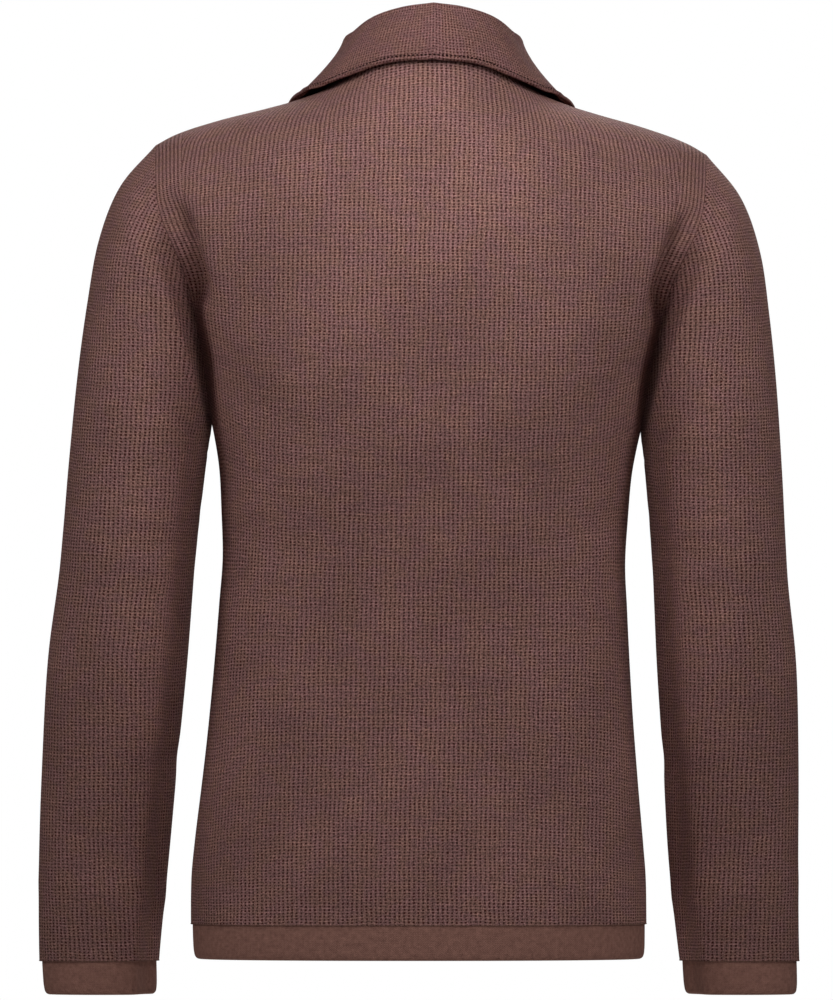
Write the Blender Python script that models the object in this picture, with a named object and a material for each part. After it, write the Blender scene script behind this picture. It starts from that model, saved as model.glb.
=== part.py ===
"""A man's knitted cardigan with a shawl collar, filled out as it hangs on a wearer.

The wearer faces -Y, their left is +X and up is +Z. The origin is the middle of the neck at
shoulder height. All sizes below are millimetres; a mesh is scaled to metres as it is made.

The body is one form: horizontal ovals whose half width and depth change with height. Above
the underarm the ovals are opened by the armholes, and above the shoulder tips they end on
the shoulder ridge. Every panel is a grid of points on that form, with its wall turned inwards.
Sleeves, cuffs and collar start from the edges that they are sewn to.
"""

from collections import namedtuple
import math

import bpy
import numpy as np

MM = 0.001

# Cloth
KNIT_WALL = 2.5
COLLAR_WALL = 2.4
SEAM_GAP = 0.3
LAYER_GAP = 1.0
FALL_CLEARANCE = 2.2

# Landmarks. A pair is (x, z).
UNDERARM_HEIGHT = -253.0
SHOULDER_TIP = (212.0, -38.5)
SIDE_NECK = (69.0, 18.0)
BACK_NECK_HEIGHT = 38.0
HEM_SEAM = -634.0
HEM_DEPTH = 27.0
CUFF_DEPTH = 26.0

# The stance: the shoulders tilt by this much, up on the wearer's left, and the body sways to
# the left towards its hem.
TILT = 0.0174
TILT_GONE_ABOVE = 60.0
Sway = namedtuple("Sway", "height aside")
SWAY = (
    Sway(80, -1.4),
    Sway(0, 0),
    Sway(-250, 4.35),
    Sway(-500, 8.7),
    Sway(-600, 10.3),
    Sway(-655, 9.9),
    Sway(-690, 8.6),
)

# Front closing
BREAK_HEIGHT = UNDERARM_HEIGHT
BAND_WIDTH = 34.0
BUTTON_COUNT = 5
FIRST_BUTTON = -272.0
BUTTON_SPACING = 88.0
BUTTON_RADIUS = 10.0
BUTTON_THICKNESS = 3.6
BUTTON_HOLE_RADIUS = 1.1
BUTTON_HOLE_CIRCLE = 2.6
BUTTON_SEAT = 0.35
CUTTER_OVERRUN = 1.0

# A button's turned section: shares of its radius and of its thickness, from the underside
# round the rim to the dished middle.
BUTTON_SECTION = (
    (0.72, 0.0),
    (1.0, 0.35),
    (1.0, 0.75),
    (0.9, 1.0),
    (0.7, 0.72),
)

# Mesh fineness, in steps
TORSO_STEPS = 9
ARMHOLE_STEPS = 12
NECK_STEPS = 4
SHOULDER_STEPS = 8
FRONT_STEPS = 10
SLEEVE_RINGS = 20
STAND_STEPS = 4
ROLL_STEPS = 4
FALL_STEPS = 6
LONGEST_COLLAR_STEP = 27.0
BAND_STEPS = 9
BAND_COLUMNS = 3
CROSSING_STEPS = 3
BUTTON_SIDES = 20
HOLE_SIDES = 6

# The body's form. Each row is one height: how deep the oval is behind and in front of the
# side seams, and how square it is (2 is an ellipse).
Form = namedtuple("Form", "height back front squareness")
FORM = (
    Form(80, 46, 16, 1.9),
    Form(38, 57, 28, 1.9),
    Form(18, 67, 38, 1.9),
    Form(0, 79, 53, 1.9),
    Form(-38, 98, 80, 1.9),
    Form(-80, 110, 102, 2.05),
    Form(-130, 117, 118, 2.25),
    Form(-180, 118.5, 125, 2.35),
    Form(-253, 114, 125, 2.4),
    Form(-340, 102, 118, 2.4),
    Form(-420, 96, 113, 2.4),
    Form(-490, 99, 114, 2.4),
    Form(-560, 107, 116, 2.4),
    Form(-634, 113, 118, 2.4),
    Form(-670, 113.5, 118, 2.4),
)

# Half width at the side seam, below the underarm.
Width = namedtuple("Width", "height half")
SIDE = (
    Width(-253, 165),
    Width(-262, 163),
    Width(-285, 159),
    Width(-320, 156.5),
    Width(-354, 155),
    Width(-389, 157),
    Width(-435, 160),
    Width(-481, 163.6),
    Width(-527, 168),
    Width(-574, 172.9),
    Width(-600, 175),
    Width(-634, 175.4),
    Width(-670, 175.4),
)

# The armhole seam's distance from the middle, from the underarm to the shoulder tip.
ARMHOLE = (
    Width(-253, 165),
    Width(-215, 171),
    Width(-177, 178),
    Width(-139, 187.5),
    Width(-120, 195.5),
    Width(-100, 204.5),
    Width(-78, 210.5),
    Width(-38.5, 212),
)
ARMHOLE_DEPTH = 57.0
ARMHOLE_SKEW = 8.0
FRONT_SCOOP = 7.0

# The shoulder ridge, from its tip to the side of the neck and up it.
RIDGE = (
    Width(-38.5, 212),
    Width(-30.8, 198.3),
    Width(-19.3, 166),
    Width(-8.7, 127),
    Width(-3.2, 108),
    Width(3.5, 90),
    Width(9.5, 79),
    Width(18, 69),
    Width(38, 66),
    Width(80, 62),
)

# The front panels' inner edge: the V neckline down to the bands.
NECKLINE = (
    Width(18, 69),
    Width(0, 67.5),
    Width(-40, 62),
    Width(-90, 53),
    Width(-146, 42),
    Width(-200, 30),
    Width(-253, BAND_WIDTH / 2),
    Width(-670, BAND_WIDTH / 2),
)

# How far the wearer's left front lies over the right one: one layer along the bands, and
# the folded right lapel too where the lapels cross above the top button.
Lift = namedtuple("Lift", "height amount")
ONE_LAYER = KNIT_WALL + SEAM_GAP
FOLDED_LAYERS = 2 * COLLAR_WALL + LAYER_GAP + SEAM_GAP
OVERLAP = (
    Lift(-670, ONE_LAYER),
    Lift(-292, ONE_LAYER),
    Lift(-262, FOLDED_LAYERS),
    Lift(-170, FOLDED_LAYERS),
    Lift(-105, 0),
    Lift(80, 0),
)
OVERLAP_FULL_WITHIN = 22.0
OVERLAP_GONE_BEYOND = 78.0

# How the hem and cuff bands draw in towards their lower edges: depth below the seam as a
# share of the band, and the inset from the knit above.
Inset = namedtuple("Inset", "share inset")
BAND_EDGE = (
    Inset(0, 1.3),
    Inset(0.45, 1.5),
    Inset(0.75, 2.0),
    Inset(0.92, 3.6),
    Inset(1, 5.6),
)

# Sleeve sections. Each is an oval ring from a point on the outer line to one on the inner
# line, with its half depth from front to back and how far its middle lies behind the seam.
Ring = namedtuple("Ring", "outer_x outer_z inner_x inner_z half_depth behind")
SLEEVE = (
    Ring(212, -38.5, 165, -253, 57, 0),
    Ring(239, -71, 165.7, -259, 66, 0),
    Ring(254.5, -112, 166.8, -266, 68, 0),
    Ring(262.5, -160, 168, -276, 66, 1),
    Ring(269.2, -217, 169.6, -290, 63, 3),
    Ring(274.8, -286, 172.2, -316, 59, 5),
    Ring(280, -362, 176.6, -366, 55, 7),
    Ring(288, -432, 180.8, -434, 51, 6),
    Ring(291.3, -510, 187, -510, 45, -3),
    Ring(292.6, -586, 192.8, -586, 41, -14),
    Ring(293, -663, 200.8, -663, 36, -25),
)
SLEEVE_SQUARENESS = 2.1
CAP_FADE_RINGS = 8
WRIST_INSET = 0.8

# A point nearer to the plane of the side and shoulder seams than this lies on them.
ON_SEAM = 1e-3
# Walls that meet at an angle are mitred, to no longer than this share allows.
SHARPEST_MITRE = 0.75

# The collar. Each row is one place along its neck seam, from the middle of the back (0) by
# the side of the neck (1) to the break point (2). Fold and edge are the wall's middle. The
# fall first runs out by `reach` of its way and down by `drop` of its height.
Collar = namedtuple(
    "Collar",
    "place fold_x fold_y fold_z edge_x edge_y edge_z reach drop roll lies",
)
COLLAR = (
    Collar(0.00, 0, 53, 70, 0, 65.5, 30.0, 0.80, 0.45, 3.0, 0),
    Collar(0.25, 24, 51, 67.5, 33, 58.5, 27.5, 0.75, 0.44, 3.0, 0),
    Collar(0.50, 44.7, 40, 60.5, 60, 42.5, 18.5, 0.60, 0.40, 2.9, 0),
    Collar(0.75, 60, 20, 51, 85, 27, 8.5, 0.25, 0.36, 2.7, 0),
    Collar(1.00, 65.5, -3, 43, 102.5, 0, 0.5, 0.10, 0.36, 2.5, 0),
    Collar(1.10, 62, -26, 26, 109, -30, -22, 0.25, 0.42, 2.4, 0.15),
    Collar(1.22, 52, -48, -10, 117, -55, -48, 0.40, 0.48, 2.3, 0.6),
    Collar(1.36, 39, -74, -54, 119, -77, -82, 0.5, 0.5, 2.2, 1),
    Collar(1.52, 24, -98, -104, 107, -95, -120, 0.5, 0.5, 1.9, 1),
    Collar(1.68, 10, -113, -154, 83, -108, -166, 0.5, 0.5, 1.7, 1),
    Collar(1.84, -3.5, -120, -203, 47, -118, -209, 0.5, 0.5, 1.7, 1),
    Collar(2.00, -17, -124, -252, -11, -124, -251.5, 0.5, 0.5, 1.7, 1),
)

# Colours, as linear red, green and blue
Finish = namedtuple("Finish", "name colour roughness")
TUCK_KNIT = Finish("brown_tuck_knit", (0.165, 0.078, 0.067), 0.9)
JERSEY = Finish("brown_jersey_band", (0.120, 0.061, 0.047), 0.92)
COLLAR_KNIT = Finish("brown_collar_knit", (0.185, 0.092, 0.078), 0.9)
HORN = Finish("dark_horn", (0.035, 0.018, 0.012), 0.35)


def smooth(rows, key, value):
    """A smooth function through the rows, which never overshoots them."""
    rows = sorted(rows, key=lambda row: getattr(row, key))
    x = np.array([getattr(row, key) for row in rows], float)
    y = np.array([getattr(row, value) for row in rows], float)
    slope = np.diff(y) / np.diff(x)
    tangent = np.concatenate([slope[:1], (slope[1:] + slope[:-1]) / 2, slope[-1:]])
    for i in range(1, len(x) - 1):
        if slope[i - 1] * slope[i] <= 0:
            tangent[i] = 0
        else:
            least = min(abs(slope[i - 1]), abs(slope[i]))
            tangent[i] = np.sign(slope[i]) * min(abs(tangent[i]), 3 * least)

    def at(wanted):
        wanted = np.clip(np.asarray(wanted, float), x[0], x[-1])
        i = np.clip(np.searchsorted(x, wanted) - 1, 0, len(x) - 2)
        width = x[i + 1] - x[i]
        t = (wanted - x[i]) / width
        rise = 3 * t**2 - 2 * t**3
        lead = (t - 2 * t**2 + t**3) * width * tangent[i]
        trail = (t**3 - t**2) * width * tangent[i + 1]
        return y[i] + (y[i + 1] - y[i]) * rise + lead + trail

    return at


def ease(share):
    """0 to 1 with flat ends."""
    share = np.clip(share, 0, 1)
    return share * share * (3 - 2 * share)


def unit(vectors):
    vectors = np.asarray(vectors, float)
    length = np.linalg.norm(vectors, axis=-1, keepdims=True)
    return vectors / np.maximum(length, 1e-9)


back_depth = smooth(FORM, "height", "back")
front_depth = smooth(FORM, "height", "front")
squareness = smooth(FORM, "height", "squareness")
side_width = smooth(SIDE, "height", "half")
armhole_width = smooth(ARMHOLE, "height", "half")
ridge_width = smooth(RIDGE, "height", "half")
ridge_height = smooth(
    [row for row in RIDGE if row.height <= SIDE_NECK[1]], "half", "height"
)
neckline = smooth(NECKLINE, "height", "half")
overlap = smooth(OVERLAP, "height", "amount")
aside = smooth(SWAY, "height", "aside")
band_inset = smooth(BAND_EDGE, "share", "inset")

ARMHOLE_MIDDLE = (SHOULDER_TIP[1] + UNDERARM_HEIGHT) / 2
ARMHOLE_REACH = (SHOULDER_TIP[1] - UNDERARM_HEIGHT) / 2


# The body's form


def armhole_at(turn, front):
    """Points of the armhole seam. The turn is 0 at the shoulder tip and pi at the underarm."""
    turn = np.asarray(turn, float)
    z = ARMHOLE_MIDDLE + ARMHOLE_REACH * np.cos(turn)
    x = armhole_width(z) - np.where(front, FRONT_SCOOP, 0) * np.sin(turn) ** 2
    y = np.sin(turn) * (ARMHOLE_DEPTH + ARMHOLE_SKEW * np.cos(turn))
    return np.stack([x, np.where(front, -y, y), z], axis=-1)


def depth_at(z, front):
    return np.where(front, front_depth(z), back_depth(z))


def half_width(z, front):
    """Half width of the oval at a height. Beside an armhole it is the width that the oval
    would reach if the armhole didn't cut it."""
    turn = np.arccos(np.clip((z - ARMHOLE_MIDDLE) / ARMHOLE_REACH, -1, 1))
    seam = armhole_at(turn, front)
    power = squareness(z)
    deepest = 0.98
    share = np.clip(np.abs(seam[..., 1]) / depth_at(z, front), 0, deepest)
    opened = seam[..., 0] / (1 - share**power) ** (1 / power)
    closed = np.where(z <= UNDERARM_HEIGHT, side_width(z), ridge_width(z))
    beside = (z > UNDERARM_HEIGHT) & (z < SHOULDER_TIP[1])
    return np.where(beside, opened, closed)


def form_y(x, z, front):
    power = squareness(z)
    share = np.clip(np.abs(x) / half_width(z, front), 0, 1)
    y = depth_at(z, front) * (1 - share**power) ** (1 / power)
    return np.where(front, -y, y)


def on_form(x, z, front):
    x, z = np.broadcast_arrays(np.asarray(x, float), np.asarray(z, float))
    return np.stack([x, form_y(x, z, front), z], axis=-1)


def level(points):
    """Negative inside the form, zero on it and positive outside."""
    x, y, z = np.moveaxis(points, -1, 0)
    front = y < 0
    power = squareness(z)
    across = (np.abs(x) / half_width(z, front)) ** power
    return across + (np.abs(y) / depth_at(z, front)) ** power - 1


def gradient(points):
    reach = 0.5
    slopes = []
    for axis in range(3):
        move = np.zeros(3)
        move[axis] = reach
        slopes.append((level(points + move) - level(points - move)) / (2 * reach))
    return np.stack(slopes, axis=-1)


def form_normal(points):
    return unit(gradient(points))


def to_form(points):
    """The nearest points of the form, by Newton's steps that are kept a little short."""
    points = np.array(points, float)
    rounds, short = 8, 0.9
    for _ in range(rounds):
        slope = gradient(points)
        size = np.maximum((slope**2).sum(axis=-1), 1e-9)
        points = points - slope * (level(points) / size)[..., None] * short
    return points


def lay_on(points, offset):
    """The points moved to this distance outside the form."""
    base = to_form(points)
    return base + form_normal(base) * np.asarray(offset)[..., None]


def keep_outside(points, offset):
    """Only the points nearer than this distance are moved out."""
    base = to_form(points)
    normal = form_normal(base)
    out = ((points - base) * normal).sum(axis=-1)
    push = np.maximum(np.asarray(offset) - out, 0)
    return points + normal * push[..., None]


def lifted(x, z):
    """How far the left front is lifted off the form, over the right one."""
    reach = OVERLAP_GONE_BEYOND - OVERLAP_FULL_WITHIN
    return overlap(z) * ease((OVERLAP_GONE_BEYOND - np.abs(x)) / reach)


# Grids and walls


def even_shares(x_from, x_to, z, front, steps):
    """Shares of the way across at which a level section is cut into equal lengths."""
    samples = 120
    fine = np.sin(np.linspace(0, math.pi / 2, samples))
    line = on_form(x_from + (x_to - x_from) * fine, z, front)
    length = np.linalg.norm(np.diff(line, axis=0), axis=1).cumsum()
    length = np.concatenate([[0], length])
    wanted = np.linspace(0, length[-1], steps + 1)
    return np.interp(wanted, length, fine)


def grid_normals(grid, closed=False):
    """Unit normals of a grid of points by central differences."""
    down = np.gradient(grid, axis=0)
    if closed:
        across = (np.roll(grid, -1, axis=1) - np.roll(grid, 1, axis=1)) / 2
    else:
        across = np.gradient(grid, axis=1)
    return unit(np.cross(across, down))


def drawn_in(outer, inner, edges, gap=SEAM_GAP / 2):
    """Both faces of a wall moved back from the named edges by half a seam's gap."""
    for name in edges:
        for face in (outer, inner):
            if name == "first_row":
                face[0] += unit(face[1] - face[0]) * gap
            if name == "last_row":
                face[-1] += unit(face[-2] - face[-1]) * gap
            if name == "first_column":
                face[:, 0] += unit(face[:, 1] - face[:, 0]) * gap
            if name == "last_column":
                face[:, -1] += unit(face[:, -2] - face[:, -1]) * gap
    return outer, inner


def parted(outer, inner, flat, side):
    """Both faces of a wall moved off the plane where the back meets the fronts."""
    for face in (outer, inner):
        face[flat, 1] += side * SEAM_GAP / 2
    return outer, inner


def stance(points):
    """The tilt and the sway, with the hems and the collar's fold left level."""
    x, y, z = np.moveaxis(points, -1, 0)
    above_hem = ease((z - HEM_SEAM) / (UNDERARM_HEIGHT - HEM_SEAM))
    below_fold = ease((TILT_GONE_ABOVE - z) / (TILT_GONE_ABOVE - SIDE_NECK[1]))
    return np.stack([x + aside(z), y, z + TILT * x * above_hem * below_fold], axis=-1)


def material(finish):
    found = bpy.data.materials.get(finish.name)
    if found:
        return found
    made = bpy.data.materials.new(finish.name)
    made.use_nodes = True
    made.diffuse_color = (*finish.colour, 1)
    shader = made.node_tree.nodes["Principled BSDF"]
    shader.inputs["Base Color"].default_value = (*finish.colour, 1)
    shader.inputs["Roughness"].default_value = finish.roughness
    return made


def add_object(name, points, faces, finish):
    """A mesh object from millimetre points, with its faces turned outwards."""
    points = stance(np.asarray(points, float)) * MM
    corners = [points[list(face)] for face in faces]
    volume = 0.0
    for corner in corners:
        for second, third in zip(corner[1:-1], corner[2:]):
            volume += np.dot(corner[0], np.cross(second, third))
    if volume < 0:
        faces = [tuple(reversed(face)) for face in faces]
    mesh = bpy.data.meshes.new(name)
    mesh.from_pydata(points.tolist(), [], [tuple(map(int, face)) for face in faces])
    mesh.materials.append(material(finish))
    mesh.shade_smooth()
    mesh.set_sharp_from_angle(angle=math.radians(50))
    thing = bpy.data.objects.new(name, mesh)
    bpy.context.scene.collection.objects.link(thing)
    return thing


def rim(points, count, a, b):
    """A wall's edge between two outer points. It is split from the higher one, so that the
    edges of two walls that are sewn together match."""
    if points[a][2] >= points[b][2]:
        return [(a, b, b + count), (a, b + count, a + count)]
    return [(a, b, a + count), (b, b + count, a + count)]


def wall(name, outer, inner, finish, closed=False):
    """A closed wall between two grids of the same shape."""
    rows, columns = outer.shape[:2]
    count = rows * columns
    index = np.arange(count).reshape(rows, columns)
    points = np.concatenate([outer.reshape(-1, 3), inner.reshape(-1, 3)])
    spans = columns if closed else columns - 1
    faces = []
    for column in range(spans):
        after = (column + 1) % columns
        for row in range(rows - 1):
            a, b = index[row, column], index[row, after]
            c, d = index[row + 1, after], index[row + 1, column]
            faces.append((a, b, c, d))
            faces.append((a + count, d + count, c + count, b + count))
        faces += rim(points, count, index[0, after], index[0, column])
        faces += rim(points, count, index[-1, column], index[-1, after])
    if not closed:
        for row in range(rows - 1):
            faces += rim(points, count, index[row, 0], index[row + 1, 0])
            faces += rim(points, count, index[row + 1, -1], index[row, -1])
    return add_object(name, points, faces, finish)


def mirrored(grid):
    """The grid on the wearer's other side."""
    return grid * np.array([-1.0, 1.0, 1.0])


# Panels of the body


TORSO_HEIGHTS = np.linspace(HEM_SEAM, UNDERARM_HEIGHT, TORSO_STEPS + 1)
ARMHOLE_TURNS = np.linspace(math.pi, 0, ARMHOLE_STEPS + 1)
ARMHOLE_HEIGHTS = ARMHOLE_MIDDLE + ARMHOLE_REACH * np.cos(ARMHOLE_TURNS)
ROW_HEIGHTS = np.concatenate([TORSO_HEIGHTS, ARMHOLE_HEIGHTS[1:]])
BASE_HEIGHT = ARMHOLE_MIDDLE


def edge_x(z, front):
    """Where a panel's outer edge lies: the side seam, then the armhole."""
    turn = np.arccos(np.clip((z - ARMHOLE_MIDDLE) / ARMHOLE_REACH, -1, 1))
    return float(
        armhole_at(turn, front)[0] if z > UNDERARM_HEIGHT else side_width(z)
    )


def shoulder_line(steps):
    """(x, z) along the shoulder ridge from the neck to the tip."""
    x = np.linspace(SIDE_NECK[0], SHOULDER_TIP[0], steps + 1)
    return x, ridge_height(x)


def neck_line(steps):
    """(x, z) along the back neck seam, from the middle to the side of the neck."""
    turn = np.linspace(0, math.pi / 2, steps + 1)
    z = SIDE_NECK[1] + (BACK_NECK_HEIGHT - SIDE_NECK[1]) * np.cos(turn) ** 2
    x = half_width(z, False) * np.sin(turn) ** (2 / squareness(z))
    return x, z


def panel_half(front, steps, top_x, top_z):
    """Half of the back, or one front, as rows of points from the middle outwards."""
    span = SHOULDER_TIP[1] - BASE_HEIGHT
    rows = []
    for height in ROW_HEIGHTS:
        q = min(1.0, (SHOULDER_TIP[1] - height) / span)
        level_z = min(height, BASE_HEIGHT)
        z = top_z + (BASE_HEIGHT - top_z) * q if height > BASE_HEIGHT else height
        z = np.broadcast_to(z, (steps + 1,)).astype(float)
        first = float(neckline(z[0])) if front else 0.0
        level_first = float(neckline(level_z)) if front else 0.0
        last = edge_x(height, front)
        even = even_shares(level_first, edge_x(level_z, front), level_z, front, steps)
        top = (top_x - top_x[0]) / (top_x[-1] - top_x[0])
        share = top + (even - top) * q
        x = first + (last - first) * share
        points = on_form(x, z, front)
        if q == 0:
            points[top_z < SIDE_NECK[1] + ON_SEAM, 1] = 0
        rows.append(points)
    return np.array(rows)


def body_walls():
    """The outer grids of the back and the fronts, and their normals."""
    neck_x, neck_z = neck_line(NECK_STEPS)
    ridge_x, ridge_z = shoulder_line(SHOULDER_STEPS)
    top_x = np.concatenate([neck_x, ridge_x[1:]])
    top_z = np.concatenate([neck_z, ridge_z[1:]])
    half = panel_half(False, NECK_STEPS + SHOULDER_STEPS, top_x, top_z)
    back = np.concatenate([mirrored(half[:, ::-1]), half[:, 1:]], axis=1)
    front_x, front_z = shoulder_line(FRONT_STEPS)
    front = panel_half(True, FRONT_STEPS, front_x, front_z)
    return back, front


def seam_normals(points, flat):
    """Form normals, turned sideways where the two halves of the body meet."""
    normal = form_normal(points)
    normal[flat, 1] = 0
    return unit(normal)


def mitred(first, second):
    """The shared direction of two walls' edges, lengthened so that both keep their thickness."""
    middle = unit(first + second)
    along = (middle * first).sum(axis=-1, keepdims=True)
    return middle / np.maximum(along, SHARPEST_MITRE)


# Sleeves


PlacedRing = namedtuple("PlacedRing", ("place",) + Ring._fields)
PLACED_RINGS = [PlacedRing(place, *ring) for place, ring in enumerate(SLEEVE)]
sleeve_row = {field: smooth(PLACED_RINGS, "place", field) for field in Ring._fields}


def ring_values(share):
    """The sleeve's sizes at this share of the way along it."""
    place = share * (len(SLEEVE) - 1)
    return {field: float(sleeve_row[field](place)) for field in Ring._fields}


def oval_ring(value, turns):
    """One sleeve ring, from its outer point round the back, underneath and the front."""
    outer = np.array([value["outer_x"], 0, value["outer_z"]])
    inner = np.array([value["inner_x"], 0, value["inner_z"]])
    power = 2 / SLEEVE_SQUARENESS
    along = np.sign(np.cos(turns)) * np.abs(np.cos(turns)) ** power
    aside = np.sign(np.sin(turns)) * np.abs(np.sin(turns)) ** power
    points = (outer + inner) / 2 + along[:, None] * (outer - inner) / 2
    points[:, 1] += aside * value["half_depth"] + value["behind"]
    return points


def sleeve_turns():
    return np.linspace(0, 2 * math.pi, 2 * ARMHOLE_STEPS, endpoint=False)


def armhole_ring():
    turns = sleeve_turns()
    front = turns > math.pi
    return armhole_at(np.where(front, 2 * math.pi - turns, turns), front)


def sleeve_grid():
    """Rings from the armhole seam to the cuff seam. The first ones fade from the seam's own
    shape into the sleeve's ovals."""
    turns = sleeve_turns()
    shares = np.linspace(0, 1, SLEEVE_RINGS + 1)
    ovals = np.array([oval_ring(ring_values(share), turns) for share in shares])
    own = 1 - ease(np.arange(SLEEVE_RINGS + 1) / CAP_FADE_RINGS)
    return ovals + (armhole_ring() - ovals[0]) * own[:, None, None]


def make_body_and_sleeves():
    back, front = body_walls()
    sleeve = sleeve_grid()
    sleeve_normal = grid_normals(sleeve, closed=True)
    centre = sleeve.mean(axis=1, keepdims=True)
    if ((sleeve - centre) * sleeve_normal).sum() < 0:
        sleeve_normal = -sleeve_normal
    back_flat = np.abs(back[..., 1]) < ON_SEAM
    front_flat = np.abs(front[..., 1]) < ON_SEAM
    back_normal = seam_normals(back, back_flat)
    front_normal = seam_normals(front, front_flat)

    # One direction for both walls at each point of the armhole, and the way across the seam.
    seam = sleeve[0]
    along = np.roll(seam, -1, axis=0) - np.roll(seam, 1, axis=0)
    shared = np.empty_like(seam)
    back_rows, front_rows = {}, {}
    for step in range(2 * ARMHOLE_STEPS):
        behind = step <= ARMHOLE_STEPS
        from_tip = step if behind else 2 * ARMHOLE_STEPS - step
        row = TORSO_STEPS + ARMHOLE_STEPS - from_tip
        own = back_normal[row, -1] if behind else front_normal[row, -1]
        shared[step] = mitred(own, sleeve_normal[0, step])
        if behind:
            back_rows[row] = step
        if not behind or from_tip in (0, ARMHOLE_STEPS):
            front_rows[row] = step
    across = unit(np.cross(along, shared))
    across *= np.sign(across[:, :1])
    half_gap = across * SEAM_GAP / 2
    sleeve_normal[0] = shared
    for row, step in back_rows.items():
        back_normal[row, -1] = shared[step]
        back_normal[row, 0] = mirrored(shared[step])
    for row, step in front_rows.items():
        front_normal[row, -1] = shared[step]

    outer = back.copy()
    inner = back - back_normal * KNIT_WALL
    outer, inner = drawn_in(outer, inner, ("first_row",))
    neck = slice(SHOULDER_STEPS + 1, -SHOULDER_STEPS - 1)
    for face in (outer, inner):
        face[-1, neck] += unit(face[-2, neck] - face[-1, neck]) * SEAM_GAP / 2
        for row, step in back_rows.items():
            face[row, -1] -= half_gap[step]
            face[row, 0] -= mirrored(half_gap[step])
    outer, inner = parted(outer, inner, back_flat, 1)
    wall("back", outer, inner, TUCK_KNIT)

    for side, name in ((1, "front_left"), (-1, "front_right")):
        lift = lifted(front[..., 0], front[..., 2]) if side == 1 else 0 * front[..., 0]
        outer = front + form_normal(front) * lift[..., None]
        inner = outer - front_normal * KNIT_WALL
        outer, inner = drawn_in(outer, inner, ("first_row", "first_column"))
        for face in (outer, inner):
            for row, step in front_rows.items():
                face[row, -1] -= half_gap[step]
        outer, inner = parted(outer, inner, front_flat, -1)
        if side == -1:
            outer, inner = mirrored(outer), mirrored(inner)
        wall(name, outer, inner, TUCK_KNIT)

    outer = sleeve.copy()
    inner = sleeve - sleeve_normal * KNIT_WALL
    outer, inner = drawn_in(outer, inner, ("last_row",))
    outer[0] += half_gap
    inner[0] += half_gap
    wall("sleeve_left", outer, inner, TUCK_KNIT, closed=True)
    wall("sleeve_right", mirrored(outer), mirrored(inner), TUCK_KNIT, closed=True)
    return back, front


def make_cuffs():
    """Jersey bands that carry on from the sleeves' ends and draw in at the edge."""
    turns = sleeve_turns()
    value = ring_values(1)
    rings = []
    for row in BAND_EDGE:
        drop = SEAM_GAP + (CUFF_DEPTH - SEAM_GAP) * row.share
        inset = row.inset + WRIST_INSET
        end = dict(value)
        end["outer_x"] -= inset
        end["inner_x"] += inset
        end["outer_z"] -= drop
        end["inner_z"] -= drop
        end["half_depth"] -= inset
        rings.append(oval_ring(end, turns))
    outer = np.array(rings)
    middle = outer.mean(axis=1, keepdims=True)
    normal = unit((outer - middle) * np.array([1, 1, 0]))
    inner = outer - normal * KNIT_WALL
    for name, flip in (("cuff_left", False), ("cuff_right", True)):
        faces = (mirrored(outer), mirrored(inner)) if flip else (outer, inner)
        wall(name, *faces, JERSEY, closed=True)


def make_hems(back, front):
    """Jersey bands below the back and the fronts, with the same columns."""
    for name, row, lift_side in (
        ("hem_back", back[0], 0),
        ("hem_front_left", front[0], 1),
        ("hem_front_right", front[0], -1),
    ):
        is_front = lift_side != 0
        bands = []
        for edge in BAND_EDGE:
            z = HEM_SEAM - SEAM_GAP / 2 - (HEM_DEPTH - SEAM_GAP / 2) * edge.share
            points = on_form(row[:, 0], z, is_front)
            points[np.abs(row[:, 1]) < ON_SEAM, 1] = 0
            normal = seam_normals(points, np.abs(points[:, 1]) < ON_SEAM)
            offset = -edge.inset
            if lift_side == 1:
                offset = offset + lifted(points[:, 0], points[:, 2])[:, None]
            bands.append(points + normal * offset)
        outer = np.array(bands)
        flat = np.abs(outer[..., 1]) < ON_SEAM
        normal = seam_normals(outer, flat)
        inner = outer - normal * KNIT_WALL
        outer, inner = parted(outer, inner, flat, -1 if is_front else 1)
        if is_front:
            outer, inner = drawn_in(outer, inner, ("first_column",))
        if lift_side == -1:
            outer, inner = mirrored(outer), mirrored(inner)
        wall(name, outer, inner, JERSEY)


def make_bands():
    """The two strips that carry the buttonholes (on top) and the buttons (beneath)."""
    half = BAND_WIDTH / 2
    bottom = HEM_SEAM - HEM_DEPTH
    crossing = [row.height for row in OVERLAP if bottom < row.height < BREAK_HEIGHT]
    step = (max(crossing) - min(crossing)) / CROSSING_STEPS
    upper_rows = np.arange(max(crossing), min(crossing), -step)
    lower_rows = np.linspace(min(crossing), HEM_SEAM, BAND_STEPS + 1)
    hem_rows = [HEM_SEAM - HEM_DEPTH * row.share for row in BAND_EDGE[1:]]
    heights = [[BREAK_HEIGHT - SEAM_GAP / 2], upper_rows, lower_rows, hem_rows]
    heights = np.concatenate(heights)
    share = (HEM_SEAM - heights) / HEM_DEPTH
    inset = np.where(share > 0, band_inset(np.clip(share, 0, 1)), 0)
    for name, upper in (("buttonhole_band", True), ("button_band", False)):
        x = np.linspace(-half, half, BAND_COLUMNS + 1)[None, :]
        grid = on_form(np.repeat(x, len(heights), axis=0), heights[:, None], True)
        offset = -inset[:, None] + (overlap(heights)[:, None] if upper else 0)
        normal = form_normal(grid)
        outer = grid + normal * (offset + 0 * x)[..., None]
        inner = outer - normal * KNIT_WALL
        seam = "last_column" if upper else "first_column"
        outer, inner = drawn_in(outer, inner, (seam,))
        wall(name, outer, inner, COLLAR_KNIT)


# The collar


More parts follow.
